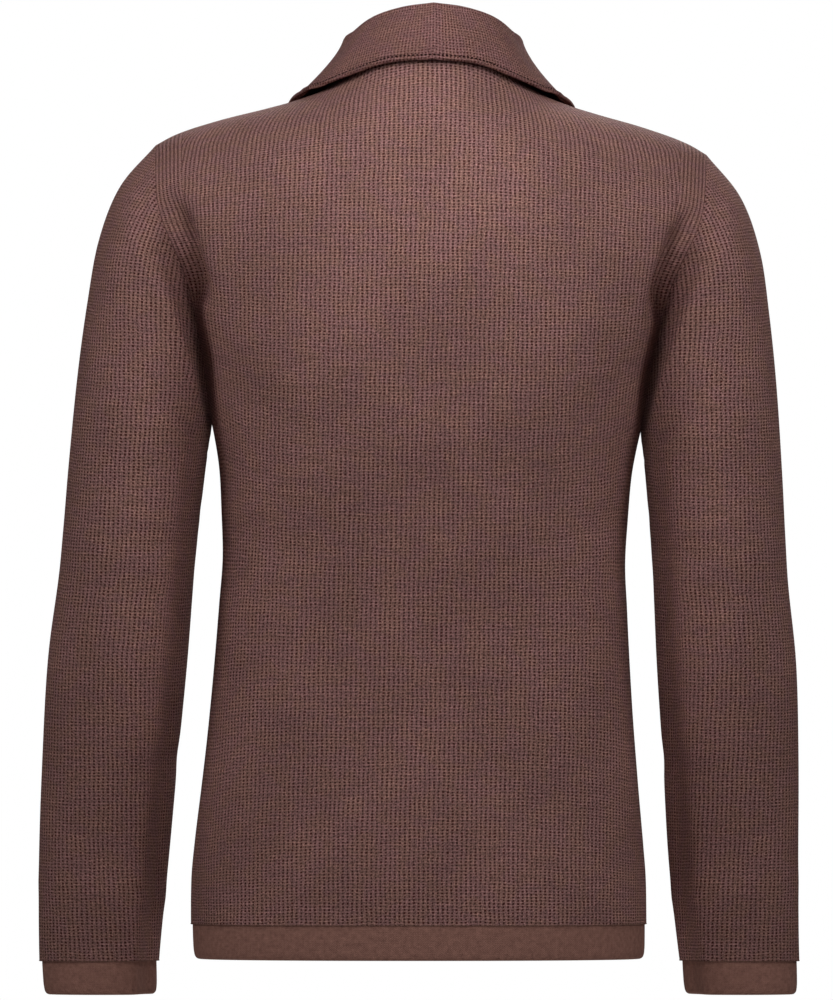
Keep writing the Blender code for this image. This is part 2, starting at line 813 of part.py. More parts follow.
def collar_seam(back, front):
    """Places along the neck seam with its points: 0 at the back, 1 at the side and 2 at the
    break point. The points are the panels' own."""
    middle = back.shape[1] // 2
    behind = back[-1, middle:middle + NECK_STEPS + 1]
    ahead = front[:TORSO_STEPS - 1:-1, 0][1:]
    down = (SIDE_NECK[1] - ahead[:, 2]) / (SIDE_NECK[1] - BREAK_HEIGHT)
    places = np.concatenate([np.linspace(0, 1, NECK_STEPS + 1), 1 + down])
    points = np.concatenate([behind, ahead])
    normals = seam_normals(points, np.abs(points[:, 1]) < ON_SEAM)
    length = np.linalg.norm(np.diff(points, axis=0), axis=1)
    long = np.flatnonzero(length > LONGEST_COLLAR_STEP)
    split = long + 1
    places = np.insert(places, split, (places[long] + places[split]) / 2)
    normals = np.insert(normals, split, unit(normals[long] + normals[split]), axis=0)
    points = np.insert(points, split, (points[long] + points[split]) / 2, axis=0)
    return places, points, normals


def straight(first, last, steps):
    share = np.linspace(0, 1, steps + 1)[:, None]
    return first + (last - first) * share


collar_row = {field: smooth(COLLAR, "place", field) for field in Collar._fields}


def collar_station(place, seam, normal, lift):
    """The middle line of the collar's wall across one place, from the seam to the edge."""
    row = Collar(**{field: float(collar_row[field](place)) for field in Collar._fields})
    fold = np.array([row.fold_x, row.fold_y, row.fold_z])
    edge = np.array([row.edge_x, row.edge_y, row.edge_z])
    half = COLLAR_WALL / 2

    start = seam - normal * half + normal * lift(seam)
    resting = lay_on(fold[None], lift(fold[None]) - half + row.roll)[0]
    fold = fold + (resting - fold) * row.lies
    rise = unit(fold - start)
    facing = form_normal(to_form(fold[None]))[0] * row.lies + normal * (1 - row.lies)
    out = unit(facing - rise * np.dot(facing, rise))

    stand = straight(start, fold - out * row.roll, STAND_STEPS)
    on_panel = lay_on(stand, lift(stand) - half)
    stand = stand + (on_panel - stand) * row.lies
    turn = np.linspace(0, math.pi, ROLL_STEPS + 1)[1:, None]
    top = stand[-1] + out * row.roll
    curl = top - out * row.roll * np.cos(turn) + rise * row.roll * np.sin(turn)

    begin = curl[-1]
    bend = begin + (edge - begin) * np.array([row.reach, row.reach, row.drop])
    share = np.linspace(0, 1, FALL_STEPS + 1)[1:, None]
    fall = (1 - share) ** 2 * begin + 2 * share * (1 - share) * bend + share**2 * edge
    fall = keep_outside(fall, lift(fall) + FALL_CLEARANCE + half)
    flat = lay_on(fall, lift(fall) + 2 * row.roll - half)
    fall = fall + (flat - fall) * row.lies
    return np.concatenate([stand, curl, fall])


def make_collar(back, front):
    """One wall from break point to break point: it stands, rolls over and falls."""
    places, seam, normals = collar_seam(back, front)

    def left_lift(points):
        return lifted(points[..., 0], points[..., 2]) * (points[..., 1] < 0)

    def no_lift(points):
        return np.zeros(points.shape[:-1])

    half_middles, half_edges = [], []
    for lift in (left_lift, no_lift):
        stations = zip(places, seam, normals)
        half_middles.append(np.array([collar_station(*one, lift) for one in stations]))
        half_edges.append(seam + normals * lift(seam)[:, None])
    middle = np.concatenate([mirrored(half_middles[1])[:0:-1], half_middles[0]])
    edge = np.concatenate([mirrored(half_edges[1])[:0:-1], half_edges[0]])
    edge_normal = np.concatenate([mirrored(normals)[:0:-1], normals])

    normal = grid_normals(middle)
    if (normal[:, 0] * edge_normal).sum() < 0:
        normal = -normal
    outer = middle + normal * COLLAR_WALL / 2
    inner = middle - normal * COLLAR_WALL / 2
    rise = unit(middle[:, 1] - middle[:, 0]) * SEAM_GAP
    outer[:, 0] = edge + rise
    inner[:, 0] = edge - edge_normal * KNIT_WALL + rise
    outer, inner = drawn_in(outer, inner, ("first_row", "last_row"))
    wall("shawl_collar", outer, inner, COLLAR_KNIT)


# Buttons


def band_point(x, z):
    """A point on the face of the buttonhole band."""
    point = on_form(x, z, True)
    return point + form_normal(point[None])[0] * float(overlap(z))


def turned(profile, seat, side, upward, normal, steps):
    """Points and faces of a profile of (radius, height) turned round a button's axis."""
    points, faces = [], []
    for radius, height in profile:
        for step in range(steps):
            turn = 2 * math.pi * step / steps
            spoke = side * math.cos(turn) + upward * math.sin(turn)
            points.append(seat + spoke * radius + normal * height)
    for ring in range(len(profile) - 1):
        for step in range(steps):
            after = (step + 1) % steps
            low, high = ring * steps, (ring + 1) * steps
            faces.append((low + step, low + after, high + after, high + step))
    faces.append(tuple(range(steps - 1, -1, -1)))
    top = (len(profile) - 1) * steps
    faces.append(tuple(range(top, top + steps)))
    return points, faces


def make_button(number):
    """A turned button with a raised rim and four holes, on top of the buttonhole band."""
    z = FIRST_BUTTON - BUTTON_SPACING * (number - 1)
    side = np.array([1.0, 0.0, 0.0])
    upward = unit(band_point(0.0, z + BUTTON_RADIUS) - band_point(0.0, z - BUTTON_RADIUS))
    normal = unit(np.cross(side, upward))
    seat = band_point(0.0, z) + normal * BUTTON_SEAT
    faced = (seat, side, upward, normal)
    section = [(BUTTON_RADIUS * out, BUTTON_THICKNESS * up) for out, up in BUTTON_SECTION]
    button = add_object(f"button_{number}", *turned(section, *faced, BUTTON_SIDES), HORN)

    points, faces = [], []
    over = BUTTON_THICKNESS + CUTTER_OVERRUN
    hole = ((BUTTON_HOLE_RADIUS, -CUTTER_OVERRUN), (BUTTON_HOLE_RADIUS, over))
    for quarter in range(4):
        turn = math.pi / 4 + quarter * math.pi / 2
        spoke = side * math.cos(turn) + upward * math.sin(turn)
        centre = seat + spoke * BUTTON_HOLE_CIRCLE
        more, sides = turned(hole, centre, side, upward, normal, HOLE_SIDES)
        faces += [tuple(corner + len(points) for corner in face) for face in sides]
        points += more
    cutter = add_object(f"button_holes_{number}", points, faces, HORN)
    cutter.hide_render = True
    cutter.display_type = "WIRE"
    cut = button.modifiers.new("four_holes", "BOOLEAN")
    cut.operation = "DIFFERENCE"
    cut.object = cutter


def main():
    for thing in list(bpy.data.objects):
        bpy.data.objects.remove(thing)
    back, front = make_body_and_sleeves()
    make_cuffs()
    make_hems(back, front)
    make_bands()
    make_collar(back, front)
    for number in range(1, BUTTON_COUNT + 1):
        make_button(number)


main()
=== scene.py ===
# %% [markdown]
# # A shawl collar cardigan, filled out as it is worn
#
# The imported CAD model is the frame: it says where each panel, band and button lies. This
# script gives every one of them its looks. A knitted panel is a thin, soft wall that follows
# the same form as its CAD solid, only much finer, with rolled edges, creases and a pattern of
# stitches that follows the cloth. The first cell loads the frame.

# %% Load the frame
from collections import namedtuple
import math

import bpy
import numpy as np
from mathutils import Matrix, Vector


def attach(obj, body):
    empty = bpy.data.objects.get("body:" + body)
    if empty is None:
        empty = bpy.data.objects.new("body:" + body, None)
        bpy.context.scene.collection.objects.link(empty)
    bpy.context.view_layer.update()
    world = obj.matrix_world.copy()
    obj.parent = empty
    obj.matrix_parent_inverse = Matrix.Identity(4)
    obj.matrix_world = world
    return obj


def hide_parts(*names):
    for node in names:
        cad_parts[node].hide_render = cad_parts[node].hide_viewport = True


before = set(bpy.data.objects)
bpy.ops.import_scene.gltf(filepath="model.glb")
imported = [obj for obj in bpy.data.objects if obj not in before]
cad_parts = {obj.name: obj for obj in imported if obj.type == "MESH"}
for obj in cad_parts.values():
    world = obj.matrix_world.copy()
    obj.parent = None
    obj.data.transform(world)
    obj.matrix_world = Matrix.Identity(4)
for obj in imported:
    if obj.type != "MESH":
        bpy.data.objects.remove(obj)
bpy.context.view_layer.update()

MM = 0.001
print("nodes:", sorted(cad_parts))

# %% [markdown]
# ## The body's form
#
# A knitted body has no flat faces, so it could be sculpted by eye. It is worked out instead:
# each height has one oval, given by its depth behind and in front of the side seams, its half
# width and how square it is. Short tables hold those sizes, in millimetres, and a smooth curve
# runs through each column. They are the sizes that the CAD panels were cut from.

# %% Sizes of the body
KNIT_WALL = 2.5
COLLAR_WALL = 2.4
LAYER_GAP = 1.0
FALL_CLEARANCE = 2.2
UNDERARM_HEIGHT = -253.0
SHOULDER_TIP = (212.0, -38.5)
SIDE_NECK = (69.0, 18.0)
BACK_NECK_HEIGHT = 38.0
HEM_SEAM = -634.0
HEM_DEPTH = 27.0
CUFF_DEPTH = 26.0
TILT = 0.0174
TILT_GONE_ABOVE = 60.0
BREAK_HEIGHT = UNDERARM_HEIGHT
BAND_WIDTH = 34.0


def table(columns, *rows):
    """Rows of sizes, whose values go by the names of their columns."""
    Row = namedtuple("Row", columns)
    return [Row(*row) for row in rows]


FORM = table(
    "height back front squareness",
    (80, 46, 16, 1.9), (38, 57, 28, 1.9), (18, 67, 38, 1.9), (0, 79, 53, 1.9),
    (-38, 98, 80, 1.9), (-80, 110, 102, 2.05), (-130, 117, 118, 2.25),
    (-180, 118.5, 125, 2.35), (-253, 114, 125, 2.4), (-340, 102, 118, 2.4),
    (-420, 96, 113, 2.4), (-490, 99, 114, 2.4), (-560, 107, 116, 2.4),
    (-634, 113, 118, 2.4), (-670, 113.5, 118, 2.4),
)
SIDE = table(
    "height half",
    (-253, 165), (-262, 163), (-285, 159), (-320, 156.5), (-354, 155), (-389, 157),
    (-435, 160), (-481, 163.6), (-527, 168), (-574, 172.9), (-600, 175), (-634, 175.4),
    (-670, 175.4),
)
ARMHOLE = table(
    "height half",
    (-253, 165), (-215, 171), (-177, 178), (-139, 187.5), (-120, 195.5), (-100, 204.5),
    (-78, 210.5), (-38.5, 212),
)
ARMHOLE_DEPTH = 57.0
ARMHOLE_SKEW = 8.0
FRONT_SCOOP = 7.0
RIDGE = table(
    "height half",
    (-38.5, 212), (-30.8, 198.3), (-19.3, 166), (-8.7, 127), (-3.2, 108), (3.5, 90),
    (9.5, 79), (18, 69), (38, 66), (80, 62),
)
NECKLINE = table(
    "height half",
    (18, 69), (0, 67.5), (-40, 62), (-90, 53), (-146, 42), (-200, 30),
    (-253, BAND_WIDTH / 2), (-670, BAND_WIDTH / 2),
)

# The shoulders tilt a little, up on the wearer's left, and the body sways to the left.
SWAY = table(
    "height aside",
    (80, -1.4), (0, 0), (-250, 4.35), (-500, 8.7), (-600, 10.3), (-655, 9.9), (-690, 8.6),
)

# The wearer's left front lies over the right one: one layer along the bands, and the folded
# right lapel too where the lapels cross above the top button.
ONE_LAYER = KNIT_WALL + 0.3
FOLDED_LAYERS = 2 * COLLAR_WALL + LAYER_GAP + 0.3
OVERLAP = table(
    "height amount",
    (-670, ONE_LAYER), (-292, ONE_LAYER), (-262, FOLDED_LAYERS), (-170, FOLDED_LAYERS),
    (-105, 0), (80, 0),
)
OVERLAP_FULL_WITHIN = 22.0
OVERLAP_GONE_BEYOND = 78.0

# %% Curves through the tables


def smooth(rows, key, value):
    """A smooth function through the rows, which never overshoots them."""
    rows = sorted(rows, key=lambda row: getattr(row, key))
    x = np.array([getattr(row, key) for row in rows], float)
    y = np.array([getattr(row, value) for row in rows], float)
    slope = np.diff(y) / np.diff(x)
    tangent = np.concatenate([slope[:1], (slope[1:] + slope[:-1]) / 2, slope[-1:]])
    for i in range(1, len(x) - 1):
        if slope[i - 1] * slope[i] <= 0:
            tangent[i] = 0
        else:
            least = min(abs(slope[i - 1]), abs(slope[i]))
            tangent[i] = np.sign(slope[i]) * min(abs(tangent[i]), 3 * least)

    def at(wanted):
        wanted = np.clip(np.asarray(wanted, float), x[0], x[-1])
        i = np.clip(np.searchsorted(x, wanted) - 1, 0, len(x) - 2)
        width = x[i + 1] - x[i]
        t = (wanted - x[i]) / width
        rise = 3 * t**2 - 2 * t**3
        lead = (t - 2 * t**2 + t**3) * width * tangent[i]
        trail = (t**3 - t**2) * width * tangent[i + 1]
        return y[i] + (y[i + 1] - y[i]) * rise + lead + trail

    return at


def curves(rows, key):
    """A smooth function of the key for every column."""
    return {name: smooth(rows, key, name) for name in rows[0]._fields}


def ease(share):
    """0 to 1 with flat ends."""
    share = np.clip(share, 0, 1)
    return share * share * (3 - 2 * share)


def blend(first, last, share):
    return first + (last - first) * share


def unit(vectors):
    vectors = np.asarray(vectors, float)
    length = np.linalg.norm(vectors, axis=-1, keepdims=True)
    return vectors / np.maximum(length, 1e-9)


back_depth = smooth(FORM, "height", "back")
front_depth = smooth(FORM, "height", "front")
squareness = smooth(FORM, "height", "squareness")
side_width = smooth(SIDE, "height", "half")
armhole_width = smooth(ARMHOLE, "height", "half")
ridge_width = smooth(RIDGE, "height", "half")
ridge_height = smooth([row for row in RIDGE if row.height <= SIDE_NECK[1]], "half", "height")
neckline = smooth(NECKLINE, "height", "half")
overlap = smooth(OVERLAP, "height", "amount")
ARMHOLE_MIDDLE = (SHOULDER_TIP[1] + UNDERARM_HEIGHT) / 2
ARMHOLE_REACH = (SHOULDER_TIP[1] - UNDERARM_HEIGHT) / 2
print("chest depth:", float(back_depth(-180) + front_depth(-180)), "mm")

# %% Points on the form
DEEPEST = 0.98
SLOPE_REACH = 0.5
NEWTON_STEPS, SHORTENED = 8, 0.9


def armhole_at(turn, front):
    """Points of the armhole seam. The turn is 0 at the shoulder tip and pi at the underarm."""
    turn = np.asarray(turn, float)
    z = ARMHOLE_MIDDLE + ARMHOLE_REACH * np.cos(turn)
    x = armhole_width(z) - np.where(front, FRONT_SCOOP, 0) * np.sin(turn) ** 2
    y = np.sin(turn) * (ARMHOLE_DEPTH + ARMHOLE_SKEW * np.cos(turn))
    return np.stack([x, np.where(front, -y, y), z], axis=-1)


def depth_at(z, front):
    return np.where(front, front_depth(z), back_depth(z))


def half_width(z, front):
    """Half width of the oval at a height, as if the armhole didn't cut it."""
    turn = np.arccos(np.clip((z - ARMHOLE_MIDDLE) / ARMHOLE_REACH, -1, 1))
    seam = armhole_at(turn, front)
    power = squareness(z)
    share = np.clip(np.abs(seam[..., 1]) / depth_at(z, front), 0, DEEPEST)
    opened = seam[..., 0] / (1 - share**power) ** (1 / power)
    closed = np.where(z <= UNDERARM_HEIGHT, side_width(z), ridge_width(z))
    beside = (z > UNDERARM_HEIGHT) & (z < SHOULDER_TIP[1])
    return np.where(beside, opened, closed)


def on_form(x, z, front):
    x, z = np.broadcast_arrays(np.asarray(x, float), np.asarray(z, float))
    power = squareness(z)
    share = np.clip(np.abs(x) / half_width(z, front), 0, 1)
    y = depth_at(z, front) * (1 - share**power) ** (1 / power)
    return np.stack([x, np.where(front, -y, y), z], axis=-1)


def level(points):
    """Negative inside the form, zero on it and positive outside."""
    x, y, z = np.moveaxis(points, -1, 0)
    front = y < 0
    power = squareness(z)
    across = (np.abs(x) / half_width(z, front)) ** power
    return across + (np.abs(y) / depth_at(z, front)) ** power - 1


def gradient(points):
    moves = np.eye(3) * SLOPE_REACH
    slopes = [level(points + move) - level(points - move) for move in moves]
    return np.stack(slopes, axis=-1) / (2 * SLOPE_REACH)


def form_normal(points):
    return unit(gradient(points))


def to_form(points):
    """The nearest points of the form, by Newton's steps that are kept a little short."""
    points = np.array(points, float)
    for _ in range(NEWTON_STEPS):
        slope = gradient(points)
        size = np.maximum((slope**2).sum(axis=-1), 1e-9)
        points = points - slope * (level(points) / size)[..., None] * SHORTENED
    return points


def lay_on(points, offset):
    """The points moved to this distance outside the form."""
    base = to_form(points)
    return base + form_normal(base) * np.asarray(offset)[..., None]


def keep_outside(points, offset):
    """Only the points nearer than this distance are moved out."""
    base = to_form(points)
    normal = form_normal(base)
    out = ((points - base) * normal).sum(axis=-1)
    push = np.maximum(np.asarray(offset) - out, 0)
    return points + normal * push[..., None]


def lifted(x, z):
    """How far the left front is lifted off the form, over the right one."""
    reach = OVERLAP_GONE_BEYOND - OVERLAP_FULL_WITHIN
    return overlap(z) * ease((OVERLAP_GONE_BEYOND - np.abs(x)) / reach)


aside = smooth(SWAY, "height", "aside")


def stance(points):
    """The tilt and the sway, with the hems and the collar's fold left level."""
    x, y, z = np.moveaxis(points, -1, 0)
    above_hem = ease((z - HEM_SEAM) / (UNDERARM_HEIGHT - HEM_SEAM))
    below_fold = ease((TILT_GONE_ABOVE - z) / (TILT_GONE_ABOVE - SIDE_NECK[1]))
    return np.stack([x + aside(z), y, z + TILT * x * above_hem * below_fold], axis=-1)


# %% [markdown]
# ## Knitted cloth as a soft wall
#
# Knitted cloth is thick and springy. Its edges never end in a sharp corner: a free edge rolls
# over, and where two panels are linked together each one dips into the seam. A Solidify
# modifier would give a square rim, so the wall is built directly from a grid of points. Its
# thickness fades in a quarter circle over the last couple of millimetres, and the rows of
# points stand closer there. Each wall carries two UV maps in metres: one runs along the wales
# (the columns of stitches) and the courses (the rows), and one holds the distance to the
# panel's side seam, because fully fashioned wales follow that seam.

# %% Building a wall
NEAR_EDGE = np.array([0.3, 0.8, 1.6, 3.0])
# How an edge thins: over how many millimetres, and to what share of the wall.
Rim = namedtuple("Rim", "radius least")
FREE, SEWN, LINKED = Rim(2.2, 0.12), Rim(1.0, 0.97), Rim(1.0, 0.85)
SHARP_DEGREES = 55.0
# Corners of a wall's faces: steps down the rows and along the columns, and 1 on the inside.
OUTER = ((0, 0, 0), (0, 1, 0), (1, 1, 0), (1, 0, 0))
INNER = ((1, 0, 1), (1, 1, 1), (0, 1, 1), (0, 0, 1))
ROW_RIM = ((0, 1, 0), (0, 0, 0), (0, 0, 1), (0, 1, 1))
COLUMN_RIM = ((0, 0, 0), (1, 0, 0), (1, 0, 1), (0, 0, 1))


def grid_normals(grid, closed=False):
    down = np.gradient(grid, axis=0)
    if closed:
        across = (np.roll(grid, -1, axis=1) - np.roll(grid, 1, axis=1)) / 2
    else:
        across = np.gradient(grid, axis=1)
    return unit(np.cross(across, down))


def along(grid, axis):
    """Length of cloth from the first row (axis 0) or the first column (axis 1)."""
    steps = np.linalg.norm(np.diff(grid, axis=axis), axis=-1)
    start = np.zeros_like(np.take(steps, [0], axis=axis))
    return np.concatenate([start, np.cumsum(steps, axis=axis)], axis=axis)


def edge_distances(grid, closed=False):
    """Distances to the first and last row and, on an open panel, column."""
    rows = along(grid, 0)
    distances = [rows, rows[-1:] - rows]
    if not closed:
        columns = along(grid, 1)
        distances += [columns, columns[:, -1:] - columns]
    return distances


def rolled(distance, rim):
    """Share of the full thickness at this distance from an edge: a quarter circle."""
    short = 1 - np.clip(distance / rim.radius, 0, 1)
    return rim.least + (1 - rim.least) * np.sqrt(1 - short**2)


def add_object(name, data):
    """A new object at the origin, in the scene."""
    made = bpy.data.objects.new(name, data)
    bpy.context.scene.collection.objects.link(made)
    return made


def shade(mesh, finish, sharp_degrees):
    """The mesh in one finish, smooth but for its sharp edges."""
    mesh.materials.append(finish)
    mesh.shade_smooth()
    mesh.set_sharp_from_angle(angle=math.radians(sharp_degrees))


def soft_wall(name, outer, normal, thickness, finish, maps, rims, closed=False):
    """A closed wall from its outer face. maps holds the wales, courses and seam distances in
    millimetres, with one column more than the grid where the wall is a tube. rims holds how
    the first and last row and column thin."""
    wales, courses, seam = maps
    rows, columns = outer.shape[:2]
    thin = [rolled(d, rim) for d, rim in zip(edge_distances(outer, closed), rims)]
    half = thickness / 2 * np.min(thin, axis=0)[..., None]
    middle = outer - normal * thickness / 2
    grids = [stance(middle + normal * half), stance(middle - normal * half)]
    points = np.concatenate([grid.reshape(-1, 3) for grid in grids]) * MM

    down, across = np.arange(rows - 1), np.arange(columns if closed else columns - 1)
    row, column = [a.ravel() for a in np.meshgrid(down, across, indexing="ij")]
    sides = [(row, column, OUTER), (row, column, INNER), (0 * across, across, ROW_RIM),
             (0 * across + rows - 1, across, ROW_RIM[::-1])]
    if not closed:
        sides += [(down, 0 * down, COLUMN_RIM),
                  (down, 0 * down + columns - 1, COLUMN_RIM[::-1])]
    corners = np.concatenate([
        np.stack([np.stack([r + i, c + j, 0 * r + inside], 1) for i, j, inside in shape], 1)
        for r, c, shape in sides
    ])
    quads = corners @ [columns, 0, rows * columns] + corners[..., 1] % columns
    a, b, c, d = (points[quads[:, i]] for i in range(4))
    if (a * np.cross(b, c)).sum() + (a * np.cross(c, d)).sum() < 0:
        quads, corners = quads[:, ::-1], corners[:, ::-1]

    mesh = bpy.data.meshes.new(name)
    mesh.from_pydata(points.tolist(), [], quads.tolist())
    at = (corners[..., 0].ravel(), corners[..., 1].ravel())
    for map_name, first in (("Knit", wales), ("Seam", seam)):
        values = np.stack([first[at], courses[at]], 1) * MM
        mesh.uv_layers.new(name=map_name).data.foreach_set("uv", values.ravel())
    shade(mesh, finish, SHARP_DEGREES)
    print(f"{name}: {len(quads) * 2} triangles")
    return add_object(name, mesh)


def mirrored(grid):
    """The grid on the wearer's other side."""
    return grid * np.array([-1.0, 1.0, 1.0])


def on_side(side, *grids):
    """The grids as they are for the wearer's left (1), and mirrored for the right (-1)."""
    return [mirrored(grid) if side == -1 else grid for grid in grids]


def running_sum(steps, start):
    """Sums of the steps along each row, zero at the start column."""
    total = np.concatenate([np.zeros((len(steps), 1)), np.cumsum(steps, axis=1)], axis=1)
    return total - total[:, start:start + 1]


# Cloth is on the side of the body where its normal's X is over SIDEWAYS and its Z under LEVEL.
SIDEWAYS, SIDEWAYS_FADE = 0.8, 0.15
LEVEL, LEVEL_FADE = 0.4, 0.2


def body_maps(grid, normal, start):
    """Wale and course lengths in millimetres. The courses run across the body from the
    start column, and the wales run up it."""
    x, z = np.array([1.0, 0.0, 0.0]), np.array([0.0, 0.0, 1.0])
    round_body = unit(np.cross(normal, z))
    round_body = round_body * np.sign(round_body[:, start, 0].mean())
    # At the side the cloth faces along X, so there the courses run level round the body.
    sideways = ease((np.abs(normal[..., :1]) - SIDEWAYS) / SIDEWAYS_FADE)
    sideways = sideways * ease((LEVEL - np.abs(normal[..., 2:])) / LEVEL_FADE)
    across = unit(blend(unit(x - normal * normal[..., :1]), round_body, sideways))
    steps = np.diff(grid, axis=1)
    middle = unit(across[:, 1:] + across[:, :-1])
    up = unit(np.cross(unit(normal[:, 1:] + normal[:, :-1]), middle))
    up = up * np.sign(up[..., 2:] + 1e-9)
    wales = running_sum((steps * middle).sum(axis=-1), start)
    courses = running_sum((steps * up).sum(axis=-1), start)
    return wales, courses + along(grid[:, start:start + 1], 0)


# Where the sleeve's middle line leans in, over the shoulder, its wales stay upright.
UPRIGHT, UPRIGHT_REACH, LEAN_FROM = 0.7, 60.0, 270.0
LEVEL_STEP = 2.0


def sleeve_maps(ring, start):
    """Wale lengths round the arm at each point's own level, and course lengths up from the
    wrist. The sleeve is knitted straight, so the armhole cuts across its wales."""
    z = ring[..., 2]
    levels = np.arange(z.max(), z.min(), -LEVEL_STEP)
    spokes = range(ring.shape[1])
    sections = np.stack([
        np.stack([np.interp(-levels, -z[:, c], ring[:, c, axis]) for axis in range(2)], -1)
        for c in spokes
    ], axis=1)
    total = running_sum(np.linalg.norm(np.diff(sections, axis=1), axis=-1), start)
    wales = np.stack([np.interp(-z[:, c], -levels, total[:, c]) for c in spokes], axis=1)
    lean = np.minimum(ring[:, start, 0] - LEAN_FROM, 0)
    lean = np.interp(-z, -z[:, start], lean)
    wales = wales - UPRIGHT * lean * np.tanh(wales / UPRIGHT_REACH)
    lengths = along(ring, 0)
    return wales, lengths[-1:] - lengths


FAR = 900.0


def plain_maps(grid):
    """Maps of a band, with its wales counted along it and no shaped seam near."""
    return along(grid, 1), -along(grid, 0), np.full(grid.shape[:2], FAR)

# %% [markdown]
# ## Colours and yarn
#
# The cloth is a wool yarn dyed a warm brown. Wool has no mirror-like gloss: its fibres scatter
# the light, which makes it matt, with a little sheen where it is seen edge on. The stitches
# could be modelled one by one, but there are over a hundred thousand, so the pattern is made
# from waves in the material instead. A cosine across the wales opens gaps between the raised
# cords, a cosine up the courses opens holes between the small bars that join them, and where a
# gap meets a hole there is a pit. The colour darkens with the cloth's depth: painted shade in
# the gaps and holes, darkest in the pits.

# %% A node helper and colours


def linear(code):
    """An sRGB colour such as "8a6860" as linear red, green, blue and alpha."""
    values = [int(code[i:i + 2], 16) / 255 for i in (0, 2, 4)]
    curve = [v / 12.92 if v <= 0.04045 else ((v + 0.055) / 1.055) ** 2.4 for v in values]
    return (*curve, 1.0)


def feed(tree, node, links):
    """Joins a socket to each input that is named, or sets it to a value."""
    for socket, value in links.items():
        if isinstance(value, bpy.types.NodeSocket):
            tree.links.new(value, node.inputs[socket])
        else:
            node.inputs[socket].default_value = value


def add_node(tree, kind, links=None, **settings):
    """A node with its settings. Each of links is a socket to join or a value to set."""
    made = tree.nodes.new(kind)
    for name, value in settings.items():
        setattr(made, name, value)
    feed(tree, made, links or {})
    return made


def arithmetic(tree, operation, *values, kind="ShaderNodeMath", **settings):
    """A Math node on sockets or numbers."""
    given = {i: value for i, value in enumerate(values) if value is not None}
    return add_node(tree, kind, given, operation=operation, **settings).outputs[0]


def stepped(tree, value, low, high, to_low=0.0, to_high=1.0):
    """A smooth step of a value between two limits."""
    given = {"Value": value, "From Min": low, "From Max": high, "To Min": to_low,
             "To Max": to_high}
    node = add_node(tree, "ShaderNodeMapRange", given, interpolation_type="SMOOTHSTEP")
    return node.outputs[0]


def noise(tree, vector, **inputs):
    """The sockets of a Noise Texture."""
    return add_node(tree, "ShaderNodeTexNoise", {"Vector": vector, **inputs}).outputs


def mixed(tree, factor, first, second, **settings):
    """A colour between two others."""
    given = {"Factor": factor, 6: first, 7: second}
    return add_node(tree, "ShaderNodeMix", given, data_type="RGBA", **settings).outputs[2]


def new_group(name, tree_kind, inputs, outputs):
    """A node group with its sockets, and what it is given."""
    tree = bpy.data.node_groups.new(name, tree_kind)
    for way, sockets in (("INPUT", inputs), ("OUTPUT", outputs)):
        for socket, kind in sockets.items():
            tree.interface.new_socket(socket, in_out=way, socket_type="NodeSocket" + kind)
    return tree, add_node(tree, "NodeGroupInput").outputs


def painted(name, inputs):
    """A new material with its node tree and its shader."""
    material = bpy.data.materials.new(name)
    material.use_nodes = True
    tree = material.node_tree
    shader = tree.nodes["Principled BSDF"]
    feed(tree, shader, inputs)
    return material, tree, shader

# %% The tuck stitch
FASHIONED_WALES = 7.0
# How the rows wander: the pattern's scale, and by how many metres.
WANDER = table("scale amount", (45.0, 0.0022), (330.0, 0.0011))
HALF = (0.5, 0.5, 0.5)
VECTORS = "ShaderNodeVectorMath"
BAR_SLANT = 0.16
# Each stitch widens its gaps by chance. A gap between two cords and a hole between two bars
# begin and end at these heights of their waves, and lower the cloth by these shares.
WIDEN, WIDEN_FROM = 0.6, -0.3
GAP, HOLE = (-0.1, 0.75), (-0.5, 0.45)
GROOVE, PIT = -0.14, -0.62


